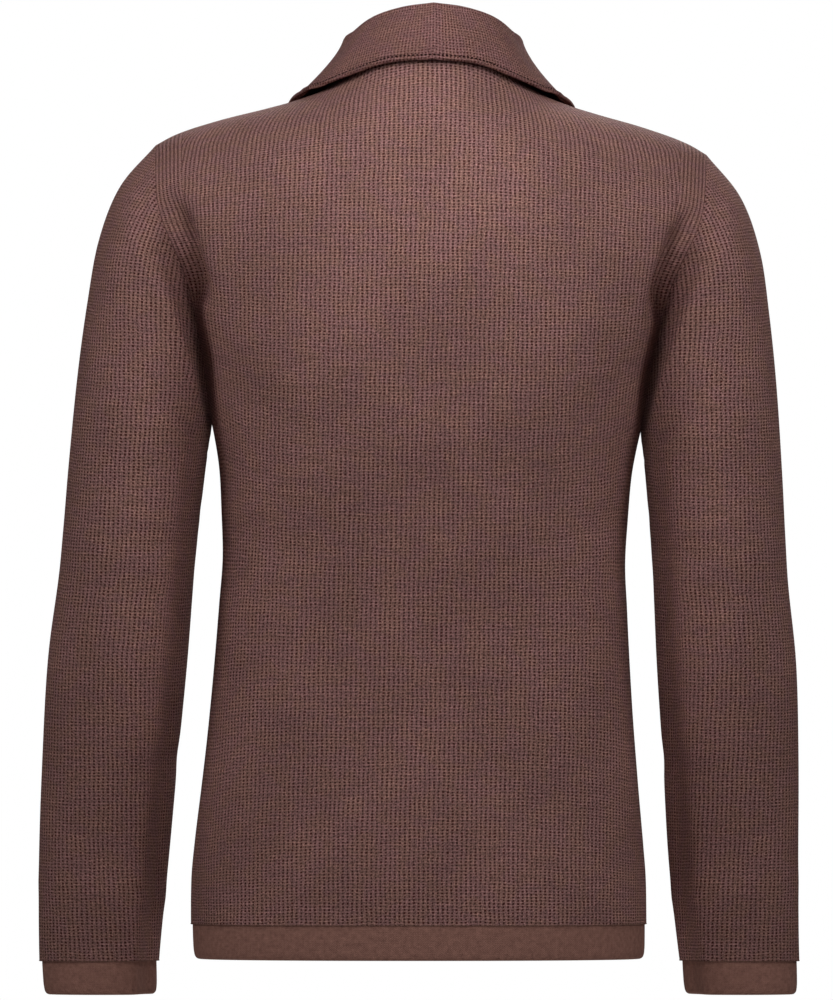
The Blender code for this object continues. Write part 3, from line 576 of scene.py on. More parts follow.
def tuck_stitch_group():
    """The height of a tuck stitch, from 0 in a pit to 1 on a cord."""
    tree, given = new_group(
        "tuck_stitch", "ShaderNodeTree",
        {"Cloth": "Vector", "Seam": "Vector", "Wale": "Float", "Course": "Float"},
        {"Height": "Float", "Stitch": "Float", "Fluff": "Float"},
    )

    # Tension varies, so the rows wander by a fraction of a stitch: slowly over a few
    # centimetres, and quickly from one stitch to the next.
    place = given["Cloth"]
    for row in WANDER:
        wander = noise(tree, given["Cloth"], Scale=row.scale, Detail=1.0)["Color"]
        wander = arithmetic(tree, "SUBTRACT", wander, HALF, kind=VECTORS)
        wander = arithmetic(tree, "SCALE", wander, None, None, row.amount, kind=VECTORS)
        place = arithmetic(tree, "ADD", place, wander, kind=VECTORS)
    place = add_node(tree, "ShaderNodeSeparateXYZ", {0: place}).outputs
    side = add_node(tree, "ShaderNodeSeparateXYZ", {0: given["Seam"]}).outputs["X"]

    # Near a fully fashioned edge the wales follow the seam, so they are counted from it.
    reach = arithmetic(tree, "MULTIPLY", given["Wale"], FASHIONED_WALES)
    near = arithmetic(tree, "LESS_THAN", side, reach)
    across = add_node(tree, "ShaderNodeMix", {"Factor": near, "A": place["X"], "B": side})
    wale = arithmetic(tree, "DIVIDE", across.outputs[0], given["Wale"])
    # The bars between two cords rise a little from left to right.
    slant = arithmetic(tree, "SUBTRACT", wale, arithmetic(tree, "ROUND", wale))
    course = arithmetic(tree, "DIVIDE", place["Y"], given["Course"])
    course = arithmetic(tree, "MULTIPLY_ADD", slant, BAR_SLANT, course)
    wale_wave, course_wave = (
        arithmetic(tree, "COSINE", arithmetic(tree, "MULTIPLY", count, math.tau))
        for count in (wale, course)
    )

    # Each stitch has its own size and shade.
    cell = {i: arithmetic(tree, "ROUND", count) for i, count in enumerate((wale, course))}
    cell = add_node(tree, "ShaderNodeCombineXYZ", cell).outputs[0]
    chance = add_node(tree, "ShaderNodeTexWhiteNoise", {"Vector": cell}).outputs["Value"]
    widen = arithmetic(tree, "MULTIPLY_ADD", chance, WIDEN, WIDEN_FROM)
    gap = stepped(tree, arithmetic(tree, "ADD", wale_wave, widen), *GAP)
    hole = stepped(tree, arithmetic(tree, "ADD", course_wave, widen), *HOLE)
    # A pit lowers the cloth, and through the height it is also where the darkest shade is
    # painted.
    pit_and_painted_shade = arithmetic(tree, "MULTIPLY", gap, hole)
    height = arithmetic(tree, "MULTIPLY_ADD", gap, GROOVE, 1.0)
    height = arithmetic(tree, "MULTIPLY_ADD", hole, GROOVE, height)
    height = arithmetic(tree, "MULTIPLY_ADD", pit_and_painted_shade, PIT, height, use_clamp=True)
    fluff = noise(tree, given["Cloth"], Scale=700.0, Detail=3.0, Roughness=0.75)
    add_node(tree, "NodeGroupOutput",
             {"Height": height, "Stitch": chance, "Fluff": fluff["Fac"]})
    return tree


TUCK_STITCH = tuck_stitch_group()
WOOL = {"Roughness": 0.92, "Specular IOR Level": 0.18, "Sheen Weight": 0.04,
        "Sheen Roughness": 0.55, "Sheen Tint": linear("c9aaa0")}
# The two hues of the fibres, and where the one turns into the other.
MELANGE_HUES = ((1.02, 1.01, 0.97, 1), (0.99, 0.96, 1.04, 1))
MELANGE = (0.38, 0.62)
# How the light on the yarn varies: from and to which value of the pattern, and by how much.
FLUFF_LIGHT = (0.32, 0.68, 0.55, 1.55)
STITCH_LIGHT = (0.0, 1.0, 0.86, 1.14)
SLUB_LIGHT = (0.34, 0.66, 0.93, 1.05)
DYE_LIGHT = (0.34, 0.66, 0.93, 1.07)
SLUB_STRETCH = (0.06, 1.0, 1.0)
FLUFF_HEIGHT = 0.2


def tuck_knit(name, wale, course, pit_and_painted_shade, cord, depth):
    """Wool knitted in tuck stitch. wale and course are the stitch spacings in metres."""
    material, tree, shader = painted(name, WOOL)
    cloth, seam = (add_node(tree, "ShaderNodeUVMap", uv_map=name).outputs[0]
                   for name in ("Knit", "Seam"))
    given = {"Cloth": cloth, "Seam": seam, "Wale": wale, "Course": course}
    stitch = add_node(tree, "ShaderNodeGroup", given, node_tree=TUCK_STITCH).outputs
    # The colour follows the stitch's height, from the cord's own brown down to a painted shade
    # in the gaps, the holes and the pits.
    colour = mixed(tree, stitch["Height"], linear(pit_and_painted_shade), linear(cord))
    # Melange: the yarn is spun from fibres of slightly different browns.
    fibres = noise(tree, cloth, Scale=60.0, Detail=1.0)["Fac"]
    mauve = stepped(tree, fibres, *MELANGE)
    tint = mixed(tree, mauve, *MELANGE_HUES)
    dyed = mixed(tree, 1.0, colour, tint, blend_type="MULTIPLY")
    # Thicker lengths of yarn show as short streaks along a course, and dye takes in patches.
    drawn = add_node(tree, "ShaderNodeMapping", {"Vector": cloth, "Scale": SLUB_STRETCH})
    slub = noise(tree, drawn.outputs[0], Scale=420.0, Detail=1.0)["Fac"]
    patches = noise(tree, cloth, Scale=12.0, Detail=1.0)["Fac"]
    light = stepped(tree, stitch["Fluff"], *FLUFF_LIGHT)
    for value, limits in ((stitch["Stitch"], STITCH_LIGHT), (slub, SLUB_LIGHT),
                          (patches, DYE_LIGHT)):
        light = arithmetic(tree, "MULTIPLY", light, stepped(tree, value, *limits))
    toned = add_node(tree, "ShaderNodeHueSaturation", {"Value": light, "Color": dyed})
    rough = arithmetic(tree, "MULTIPLY_ADD", stitch["Fluff"], FLUFF_HEIGHT, stitch["Height"])
    bump = add_node(tree, "ShaderNodeBump",
                    {"Height": rough, "Strength": 1.0, "Distance": depth})
    feed(tree, shader, {"Base Color": toned.outputs[0], "Normal": bump.outputs[0]})
    return material

# %% The finishes
# The body's wales are 3.6 mm apart and its courses 2.5 mm; the collar is knitted tighter.
# The pit colours are painted shade, far darker than the cords' own brown.
BODY_KNIT = tuck_knit("wool_tuck_knit", wale=0.00363, course=0.00245, pit_and_painted_shade="400c08",
                      cord="a57c74", depth=0.0009)
COLLAR_KNIT = tuck_knit("wool_collar_knit", wale=0.00275, course=0.0021, pit_and_painted_shade="42120e",
                        cord="956e68", depth=0.0006)
# Jersey's real stitches are about 1.2 mm wide, drawn at 1.9 mm so that they show.
JERSEY_WALE, JERSEY_COURSE, JERSEY_VEE = 0.0019, 0.0014, 1.1
VEE_HEIGHT, GROOVE_HEIGHT, MEAN_HEIGHT = 0.18, 0.12, 0.4
MOTTLE, MOTTLE_FROM, PAINTED_SHADE_BY_HEIGHT = 1.5, -0.46, 0.5


def jersey(name, low, high):
    """Plain jersey: columns of small V shapes, in a mottled yarn, with painted shade
    where the stitches lie low.
    """
    material, tree, shader = painted(name, WOOL)
    cloth = add_node(tree, "ShaderNodeUVMap", uv_map="Knit").outputs[0]
    place = add_node(tree, "ShaderNodeSeparateXYZ", {0: cloth}).outputs
    column = arithmetic(tree, "PINGPONG", place["X"], JERSEY_WALE / 2)
    slant = arithmetic(tree, "MULTIPLY_ADD", column, JERSEY_VEE, place["Y"])
    phase = arithmetic(tree, "MULTIPLY", slant, math.tau / JERSEY_COURSE)
    vees = arithmetic(tree, "COSINE", phase)
    groove = arithmetic(tree, "MULTIPLY", column, 2 / JERSEY_WALE)
    mottle = noise(tree, cloth, Scale=230.0, Detail=4.0, Roughness=0.8)["Fac"]
    height = arithmetic(tree, "MULTIPLY_ADD", vees, VEE_HEIGHT, MEAN_HEIGHT)
    height = arithmetic(tree, "MULTIPLY_ADD", groove, GROOVE_HEIGHT, height)
    tone = arithmetic(tree, "MULTIPLY_ADD", mottle, MOTTLE, MOTTLE_FROM)
    # Low stitches take a painted shade: the colour darkens down the grooves and between the V
    # shapes.
    tone = arithmetic(tree, "MULTIPLY_ADD", height, PAINTED_SHADE_BY_HEIGHT, tone, use_clamp=True)
    bump = add_node(tree, "ShaderNodeBump",
                    {"Height": height, "Strength": 0.8, "Distance": 0.0004})
    feed(tree, shader, {"Base Color": mixed(tree, tone, linear(low), linear(high)),
                        "Normal": bump.outputs[0]})
    return material


BAND_JERSEY = jersey("wool_plain_jersey", "745048", "bc8a7b")


def streaked(name, looks, dark, light, stretch=(1, 1, 1), **inputs):
    """A material streaked between two colours, by noise in its object's own space."""
    material, tree, shader = painted(name, looks)
    place = add_node(tree, "ShaderNodeTexCoord").outputs["Object"]
    place = add_node(tree, "ShaderNodeMapping", {"Vector": place, "Scale": stretch})
    streaks = noise(tree, place.outputs[0], **inputs)["Fac"]
    feed(tree, shader, {"Base Color": mixed(tree, streaks, dark, light)})
    return material


HOLLOW_SHADE = 0.7


def yarn(name, code):
    """A twisted sewing or linking yarn, with painted shade between its fibres."""
    light = linear(code)
    dark = (*(HOLLOW_SHADE * value for value in light[:3]), 1)
    return streaked(name, WOOL, dark, light, Scale=2500.0, Detail=2.0)


DARK_YARN = yarn("dark_brown_sewing_yarn", "301412")
LINK_YARN = yarn("brown_linking_yarn", "8f6a5f")
# Buffalo horn, turned and polished: dark, with faint brown streaks and a soft gloss.
HORN = streaked("polished_buffalo_horn", {"Roughness": 0.32, "IOR": 1.54}, linear("140b08"),
                linear("4a2c1f"), stretch=(1.0, 1.0, 0.25), Scale=260.0, Detail=5.0,
                Distortion=1.2)

# %% [markdown]
# ## Creases
#
# The garment hangs from the shoulders and is filled out, so it has few folds. The cloth sinks
# into a soft hollow beside each armhole, bulges where the sleeve is set in, and creases lightly
# at the elbows and the waist. Each one is a row in a table: a line on the panel, its width and
# its depth. A cloth simulation could find folds too, but these have to lie in chosen places.

# %% Creases on the body
# A crease runs from one (x, z) to another. A negative depth is a hollow.
BACK_CREASES = table(
    "x1 z1 x2 z2 width depth",
    (195, -90, 176, -155, 8, -15.0), (-196, -94, -177, -157, 8, -15.0),
    (168, -190, 120, -250, 16, -1.6), (-170, -200, -118, -246, 16, -1.4),
    (150, -330, 96, -352, 12, -1.2), (-152, -318, -88, -344, 13, -1.3),
    (148, -376, 104, -388, 11, -0.9), (-150, -368, -100, -384, 11, -0.9),
    (0, -150, 2, -470, 30, -1.6), (60, -520, 78, -620, 20, 1.0),
    (-52, -530, -70, -625, 20, 1.0),
)
FRONT_CREASES = table(
    "x1 z1 x2 z2 width depth",
    (190, -96, 172, -160, 11, -7.0), (160, -200, 110, -262, 16, -1.6),
    (150, -330, 70, -350, 14, -1.5), (148, -372, 80, -392, 12, -1.1),
    (30, -290, 78, -262, 12, -1.2), (70, -520, 84, -620, 20, 1.1),
)
CREASE_FADE = 9.0
END_FADE = 0.5


def crease_depth(points, creases):
    """How far the creases move each point, along the panel's normal."""
    x, z = points[..., 0], points[..., 2]
    total = np.zeros(x.shape)
    for crease in creases:
        start = np.array([crease.x1, crease.z1], float)
        way = np.array([crease.x2, crease.z2]) - start
        length = np.linalg.norm(way)
        share = ((x - start[0]) * way[0] + (z - start[1]) * way[1]) / length**2
        ends = ease((np.minimum(share, 1 - share) + END_FADE / 2) / END_FADE)
        beside = ((x - start[0]) * way[1] - (z - start[1]) * way[0]) / length
        total += crease.depth * ends * np.exp(-((beside / crease.width) ** 2))
    return total

# %% [markdown]
# ## The body panels and the sleeves
#
# The back and the two fronts are grids of points on the form, from the hem seam up to the
# armholes, the shoulder ridge and the neck. Wales are counted outwards from the middle. A
# sleeve starts from the armhole's own points, one column for each, and passes over a few
# rings into ovals that run down to the cuff. Panels that meet share their edge points and the
# direction in which their walls are thick, so that nothing shows through the seam.

# %% Grids of the body
ARMHOLE_STEPS = 44
ROW_SPACING = 5.0
ON_PLANE = 1e-3
NECK_SHARE = 1 / 3
LINE_SAMPLES = 160
BACK_COLUMNS, FRONT_COLUMNS = 66, 52
BACK_LENGTH, FRONT_LENGTH = 230, 190


def spread(steps, near_start, near_end, length):
    """Even shares from 0 to 1, with closer ones beside the ends that are asked for."""
    shares = [np.linspace(0, 1, steps + 1)]
    if near_start:
        shares.append(NEAR_EDGE / length)
    if near_end:
        shares.append(1 - NEAR_EDGE / length)
    return np.unique(np.round(np.concatenate(shares), 7))


def back_neck(turn):
    """The neck seam behind, from the middle (0) to the side of the neck (a quarter)."""
    z = SIDE_NECK[1] + (BACK_NECK_HEIGHT - SIDE_NECK[1]) * np.cos(turn) ** 2
    return half_width(z, False) * np.sin(turn) ** (2 / squareness(z)), z


def panel_top(front, columns):
    """The panel's upper edge: the shoulder ridge, and on the back the neck seam too."""
    start = 0 if front else NECK_SHARE
    out = np.clip((columns - start) / (1 - start), 0, 1)
    x = SIDE_NECK[0] + (SHOULDER_TIP[0] - SIDE_NECK[0]) * out
    z = ridge_height(x)
    if not front:
        neck_x, neck_z = back_neck(np.clip(columns / NECK_SHARE, 0, 1) * math.pi / 2)
        x = np.where(columns <= NECK_SHARE, neck_x, x)
        z = np.where(columns <= NECK_SHARE, neck_z, z)
    return x, z


def body_panel(front, columns):
    """Half of the back, or one front, as rows of points from the middle outwards."""
    height = UNDERARM_HEIGHT - HEM_SEAM
    torso = HEM_SEAM + height * spread(int(height / ROW_SPACING), True, False, height)
    turns = np.linspace(math.pi, 0, ARMHOLE_STEPS + 1)[1:]
    heights = np.concatenate([torso, ARMHOLE_MIDDLE + ARMHOLE_REACH * np.cos(turns)])
    top_x, top_z = panel_top(front, columns)
    on_ridge = top_z < SIDE_NECK[1] + ON_PLANE
    top = (top_x - top_x[0]) / (top_x[-1] - top_x[0])
    samples = np.sin(np.linspace(0, math.pi / 2, LINE_SAMPLES))
    rows = []

    def ends(z):
        """Where the panel begins and ends at a height, across the body."""
        turn = math.acos(np.clip((z - ARMHOLE_MIDDLE) / ARMHOLE_REACH, -1, 1))
        below = z <= UNDERARM_HEIGHT
        return side_width(z) if below else armhole_at(turn, front)[0]

    for height in heights:
        q = min(1.0, (SHOULDER_TIP[1] - height) / (SHOULDER_TIP[1] - ARMHOLE_MIDDLE))
        level_z = min(height, ARMHOLE_MIDDLE)
        z = top_z + (ARMHOLE_MIDDLE - top_z) * q if height > ARMHOLE_MIDDLE else height
        z = np.broadcast_to(z, columns.shape).astype(float)
        first = float(neckline(z[0])) if front else 0.0
        level_first = float(neckline(level_z)) if front else 0.0
        line = on_form(level_first + (ends(level_z) - level_first) * samples, level_z, front)
        length = along(line[None], 1)[0]
        even = np.interp(columns * length[-1], length, samples)
        share = top + (even - top) * q
        points = on_form(first + (ends(height) - first) * share, z, front)
        if q < 1e-9:
            points[on_ridge, 1] = 0
        rows.append(points)
    return np.array(rows)


def body_normals(points):
    """The form's normals, level where the back meets the fronts."""
    normal = form_normal(points)
    normal[np.abs(points[..., 1]) < ON_PLANE, 1] = 0
    return unit(normal)


half_back = body_panel(False, spread(BACK_COLUMNS, False, True, BACK_LENGTH))
back = np.concatenate([mirrored(half_back[:, ::-1]), half_back[:, 1:]], axis=1)
front = body_panel(True, spread(FRONT_COLUMNS, True, True, FRONT_LENGTH))
back_normal, front_normal = body_normals(back), body_normals(front)
TORSO_ROWS = len(back) - ARMHOLE_STEPS - 1
print("back grid:", back.shape[:2], "front grid:", front.shape[:2])

# %% Grid of the sleeve
# The sleeve is folded lengthwise, so its inner face turns away from behind by "tuck".
SLEEVE = table(
    "place outer_x outer_z inner_x inner_z half_depth behind tuck",
    (0, 212, -38.5, 165, -253, 57, 0, 0),
    (1, 239, -71, 165.7, -259, 66, 0, 0),
    (2, 254.5, -112, 166.8, -266, 68, 0, 0),
    (3, 262.5, -160, 168, -276, 66, 1, 2),
    (4, 269.2, -217, 169.6, -290, 63, 3, 5),
    (5, 274.8, -286, 172.2, -316, 59, 5, 9),
    (6, 280, -362, 176.6, -366, 55, 7, 13),
    (7, 288, -432, 180.8, -434, 51, 6, 16),
    (8, 291.3, -510, 187, -510, 45, -3, 18),
    (9, 292.6, -586, 192.8, -586, 41, -14, 21),
    (10, 293, -663, 200.8, -663, 36, -25, 23),
)
SLEEVE_SQUARENESS = 2.1
CAP_SHARE = 0.4
SLEEVE_ROWS, SLEEVE_LENGTH = 128, 600
sleeve_size = curves(SLEEVE, "place")
# Turns round the sleeve: 0 outside, a quarter behind, and it starts and ends underneath.
TURNS = np.linspace(-math.pi, math.pi, 2 * ARMHOLE_STEPS, endpoint=False)
PART_TURN = TURNS / math.tau
TUCK_FROM, TUCK_FULL, TUCK_GONE = 0.345, 0.41, 0.28
TUCKED = np.where(PART_TURN > 0, ease((PART_TURN - TUCK_FROM) / (TUCK_FULL - TUCK_FROM)),
                  ease((-PART_TURN - TUCK_GONE) / (0.5 - TUCK_GONE)))


def ring_sizes(share):
    """The sleeve's sizes at a share of its length."""
    place = share * SLEEVE[-1].place
    return {name: float(curve(place)) for name, curve in sleeve_size.items()}


def oval_ring(size):
    """One sleeve ring, from its inner point round the front, the outside and the back."""
    outer = np.array([size["outer_x"], 0, size["outer_z"]])
    inner = np.array([size["inner_x"], 0, size["inner_z"]])
    out, aside = (np.sign(wave) * np.abs(wave) ** (2 / SLEEVE_SQUARENESS)
                  for wave in (np.cos(TURNS), np.sin(TURNS)))
    points = (outer + inner) / 2 + out[:, None] * (outer - inner) / 2
    points[:, 1] += aside * size["half_depth"] + size["behind"] - TUCKED * size["tuck"]
    return points


# A sleeve crease lies across the arm: how far down the sleeve, where round it (0 is outside,
# a quarter behind, a half inside), how far it slants, its width, its reach and its depth.
SLEEVE_CREASES = table(
    "share turn slant width reach depth",
    (0.10, 0.27, 0.10, 0.030, 0.12, 3.0), (0.30, 0.36, -0.10, 0.022, 0.12, -1.2),
    (0.52, 0.66, 0.10, 0.020, 0.13, -1.6), (0.565, 0.33, -0.12, 0.018, 0.12, -1.2),
    (0.61, 0.70, 0.08, 0.020, 0.13, -1.4), (0.59, 0.22, 0.08, 0.020, 0.14, 1.6),
    (0.80, 0.40, -0.05, 0.016, 0.20, -1.2), (0.93, 0.30, 0.03, 0.012, 0.25, 1.0),
)


def sleeve_crease_depth(shares):
    """How far the creases move each point of the sleeve, along its normal."""
    total = np.zeros((len(shares), len(PART_TURN)))
    for crease in SLEEVE_CREASES:
        away = (PART_TURN - crease.turn + 0.5) % 1 - 0.5
        line = crease.share + crease.slant * away
        round_arm = np.exp(-((away / crease.reach) ** 2))
        down_arm = (shares[:, None] - line) / crease.width
        total += crease.depth * round_arm * np.exp(-(down_arm**2))
    return total


sleeve_shares = spread(SLEEVE_ROWS, True, True, SLEEVE_LENGTH)
sleeve = np.array([oval_ring(ring_sizes(share)) for share in sleeve_shares])
armhole = armhole_at(np.abs(TURNS), TURNS < 0)
sleeve = sleeve + (armhole - sleeve[0]) * (1 - ease(sleeve_shares / CAP_SHARE))[:, None, None]
sleeve_normal = grid_normals(sleeve, closed=True)
if ((sleeve - sleeve.mean(axis=1, keepdims=True)) * sleeve_normal).sum() < 0:
    sleeve_normal = -sleeve_normal
print("sleeve grid:", sleeve.shape[:2])

# %% Sharing the armhole seam
SHARPEST_MITRE = 0.75


def mitred(first, second):
    """The shared direction of two walls' edges, long enough to keep their thickness."""
    middle = unit(first + second)
    leaning = (middle * first).sum(axis=-1, keepdims=True)
    return middle / np.maximum(leaning, SHARPEST_MITRE)


wall_normal = [grid.copy() for grid in (back_normal, front_normal, sleeve_normal)]
for step in range(2 * ARMHOLE_STEPS):
    row = TORSO_ROWS + ARMHOLE_STEPS - abs(step - ARMHOLE_STEPS)
    behind = step >= ARMHOLE_STEPS or step == 0
    own = back_normal[row, -1] if behind else front_normal[row, -1]
    shared = mitred(own, sleeve_normal[0, step])
    wall_normal[2][0, step] = shared
    if behind:
        wall_normal[0][row, -1] = shared
        wall_normal[0][row, 0] = mirrored(shared)
    if step <= ARMHOLE_STEPS:
        wall_normal[1][row, -1] = shared

# %% Making the panels
WELT = 1.9
WELT_FROM_SEAM = 5.5
WELT_WIDTH = 3.6
# The welt begins and ends at these cosines of the turn round the armhole.
WELT_LOW, WELT_LOW_FADE = -0.6, 0.5
WELT_HIGH, WELT_HIGH_FADE = 0.93, 0.3
SINK = 38.0
SINK_SHARE = 0.8
SINK_BEGINS, SINK_FULL = -98.0, -172.0
SINK_WIDTH = 12.5


def creased(grid, normal, depth, closed=False):
    """The grid with its creases, which fade out towards every edge."""
    fade = ease(np.min(edge_distances(grid, closed), axis=0) / CREASE_FADE)
    return grid + normal * (depth * fade)[..., None]


def looped(grid):
    """The tube's grid with its first column again at the end."""
    return np.concatenate([grid, grid[:, :1]], axis=1)


def sunk(grid, from_seam):
    """The grid with the armhole's seam drawn in, deepest low behind the arm."""
    y, z = grid[..., 1], grid[..., 2]
    low = ease((SINK_BEGINS - z) / (SINK_BEGINS - SINK_FULL)) * (y > 0)
    depth = np.minimum(SINK, SINK_SHARE * np.abs(y)) * low
    moved = grid.copy()
    moved[..., 1] -= depth * np.exp(-((from_seam / SINK_WIDTH) ** 2))
    return moved


def from_sides(grid):
    """Distance along the cloth to the nearer side seam."""
    arc = along(grid, 1)
    return np.minimum(arc, arc[:, -1:] - arc)


pieces = {}
below = np.maximum(UNDERARM_HEIGHT - back[..., 2], 0)
outer = creased(back, back_normal, crease_depth(back, BACK_CREASES))
outer = sunk(outer, np.hypot(from_sides(back), below))
maps = (*body_maps(back, back_normal, back.shape[1] // 2), from_sides(outer))
panel_rims = (LINKED, SEWN, SEWN, SEWN)
pieces["back"] = soft_wall("back_panel", outer, wall_normal[0], KNIT_WALL, BODY_KNIT, maps,
                           panel_rims)

arc = along(front, 1)
wales, courses = body_maps(front, front_normal, 0)
maps = (wales + front[:, :1, 0], courses, arc[:, -1:] - arc)
for side, name in ((1, "front_left"), (-1, "front_right")):
    lift = lifted(front[..., 0], front[..., 2]) * (side == 1)
    outer = front + front_normal * lift[..., None]
    outer = creased(outer, front_normal, crease_depth(front, FRONT_CREASES))
    pieces[name] = soft_wall(name + "_panel", *on_side(side, outer, wall_normal[1]),
                             KNIT_WALL, BODY_KNIT, maps, panel_rims)

outer = creased(sleeve, sleeve_normal, sleeve_crease_depth(sleeve_shares), True)
# The seam turns under the sleeve head and lifts it in a soft welt, behind and in front.
beside = (along(sleeve, 0) - WELT_FROM_SEAM) / WELT_WIDTH
down = np.cos(TURNS)
raised = ease((down - WELT_LOW) / WELT_LOW_FADE) * ease((WELT_HIGH - down) / WELT_HIGH_FADE)
outer = outer + sleeve_normal * (WELT * np.exp(-(beside**2)) * raised)[..., None]
outer = sunk(outer, along(sleeve, 0))
wales, courses = sleeve_maps(looped(sleeve), ARMHOLE_STEPS)
maps = (wales, courses, np.full(wales.shape, FAR))
for side, name in ((1, "sleeve_left"), (-1, "sleeve_right")):
    pieces[name] = soft_wall(name + "_tube", *on_side(side, outer, wall_normal[2]),
                             KNIT_WALL, BODY_KNIT, maps, (SEWN, LINKED), closed=True)

# %% [markdown]
# ## Hem bands and cuffs
#
# The hem and the cuffs are plain jersey bands, knitted double and linked on, so they are
# smoother than the body and draw in a little. They could be part of the panels, but a band is
# a piece of its own with a seam above it and a soft rounded fold at the bottom.

# %% Bands
BAND_EDGE = table("share inset", (0, 1.3), (0.45, 1.5), (0.75, 1.9), (0.92, 2.8), (1, 4.2))
band_inset = smooth(BAND_EDGE, "share", "inset")
WRIST_INSET = 0.8
BAND_WALL = 2.6
BAND_ROWS = 16
FLAT_FACE = 0.3


def hem_inset(share, normal):
    """How far the hem is drawn in: fully at the sides, less where it faces back or front."""
    return band_inset(share) * (FLAT_FACE + (1 - FLAT_FACE) * np.abs(normal[..., 0]))


band_shares = spread(BAND_ROWS, True, True, HEM_DEPTH)
strips = {}
for name, row, side in (("hem_back", back[0], 0), ("hem_front_left", front[0], 1),
                        ("hem_front_right", front[0], -1)):
    rows = []
    for share in band_shares:
        points = on_form(row[:, 0], HEM_SEAM - HEM_DEPTH * share, side != 0)
        points[np.abs(row[:, 1]) < ON_PLANE, 1] = 0
        normal = body_normals(points)
        lift = lifted(points[:, 0], points[:, 2]) * (side == 1)
        rows.append(points + normal * (lift - hem_inset(share, normal))[:, None])
    grid = np.array(rows)
    strips[name], normal = on_side(side, grid, body_normals(grid))
    pieces[name] = soft_wall(name + "_band", strips[name], normal, BAND_WALL, BAND_JERSEY,
                             plain_maps(grid), (LINKED, FREE, SEWN, SEWN))

rings = []
for share in band_shares:
    end = ring_sizes(1)
    inset = float(band_inset(share)) + WRIST_INSET
    end["outer_x"] -= inset
    end["inner_x"] += inset
    end["outer_z"] -= CUFF_DEPTH * share
    end["inner_z"] -= CUFF_DEPTH * share
    end["half_depth"] -= inset * FLAT_FACE
    rings.append(oval_ring(end))
cuff = np.array(rings)
cuff_normal = unit((cuff - cuff.mean(axis=1, keepdims=True)) * np.array([1, 1, 0]))
for side, name in ((1, "cuff_left"), (-1, "cuff_right")):
    pieces[name] = soft_wall(name + "_band", *on_side(side, cuff, cuff_normal), BAND_WALL,
                             BAND_JERSEY, plain_maps(looped(cuff)), (LINKED, FREE),
                             closed=True)

# %% [markdown]
# ## The front bands
#
# Two knitted strips close the front. The one on the wearer's left carries the buttonholes and
# lies on top; the one on the right carries the buttons and lies beneath. They follow the form
# exactly as the fronts do, the upper one lifted by the thickness of what it covers.

# %% Front bands
BAND_STEPS, ACROSS_STEPS = 90, 12
bottom = HEM_SEAM - HEM_DEPTH
band_length = BREAK_HEIGHT - bottom
heights = BREAK_HEIGHT - band_length * spread(BAND_STEPS, True, True, band_length)
share = ((HEM_SEAM - heights) / HEM_DEPTH)[:, None]
x = BAND_WIDTH * (spread(ACROSS_STEPS, True, True, BAND_WIDTH) - 0.5)
for name, upper in (("buttonhole_band", True), ("button_band", False)):
    grid = on_form(np.repeat(x[None], len(heights), axis=0), heights[:, None], True)
    normal = form_normal(grid)
    offset = overlap(heights)[:, None] * upper - np.where(share > 0, hem_inset(share, normal), 0)
    strips[name] = grid + normal * offset[..., None]
    pieces[name] = soft_wall(name + "_strip", strips[name], normal, KNIT_WALL, COLLAR_KNIT,
                             plain_maps(grid), (SEWN, FREE, FREE, FREE))

# %% [markdown]
# ## The shawl collar
#
# A shawl collar is one long strip. It stands up from the neck seam, rolls over and falls back
# onto the shoulders, and its ends cross below as lapels. Each place along the seam has one
# cross-section, made of a stand, half a turn of roll and a curved fall, from a row of sizes.

# %% Collar sections
STAND_STEPS, ROLL_STEPS, FALL_STEPS, COLLAR_STATIONS = 12, 10, 26, 84
FALL_LENGTH = 60
BEHIND_SAMPLES, LAPEL_SAMPLES = 400, 4000
COLLAR = table(
    "place fold_x fold_y fold_z edge_x edge_y edge_z reach drop roll lies",
    (0.00, 0, 53, 70, 0, 67.0, 30.0, 0.80, 0.45, 3.0, 0),
    (0.25, 23.5, 51, 66.8, 33, 60.0, 27.5, 0.75, 0.44, 3.0, 0),
    (0.50, 44.7, 40, 60, 60, 43.5, 18.5, 0.60, 0.40, 2.9, 0),
    (0.75, 58.6, 20, 50, 85, 27, 8.5, 0.25, 0.36, 2.7, 0),
    (1.00, 66.3, -3, 40.5, 102.5, 0, 0.5, 0.14, 0.36, 2.5, 0),
    (1.10, 62, -26, 26, 109, -30, -22, 0.25, 0.42, 2.4, 0.15),
    (1.22, 52, -48, -10, 117, -55, -48, 0.40, 0.48, 2.3, 0.6),
    (1.36, 39, -74, -54, 119, -77, -82, 0.5, 0.5, 2.2, 1),
    (1.52, 24, -98, -104, 107, -95, -120, 0.5, 0.5, 1.9, 1),
    (1.68, 10, -113, -154, 83, -108, -166, 0.5, 0.5, 1.7, 1),
    (1.84, -3.5, -120, -203, 47, -118, -209, 0.5, 0.5, 1.7, 1),
    (2.00, -17, -124, -252, -11, -124, -251.5, 0.5, 0.5, 1.7, 1),
)
collar_size = curves(COLLAR, "place")


def seam_points(places):
    """The neck seam, behind from the middle (0) to the side (1), then down to the break (2)."""
    behind = on_form(*back_neck(np.clip(places, 0, 1) * math.pi / 2), False)
    z = SIDE_NECK[1] + (BREAK_HEIGHT - SIDE_NECK[1]) * np.clip(places - 1, 0, 1)
    points = np.where((places <= 1)[:, None], behind, on_form(neckline(z), z, True))
    points[np.abs(places - 1) < 1e-6, 1] = 0
    return points


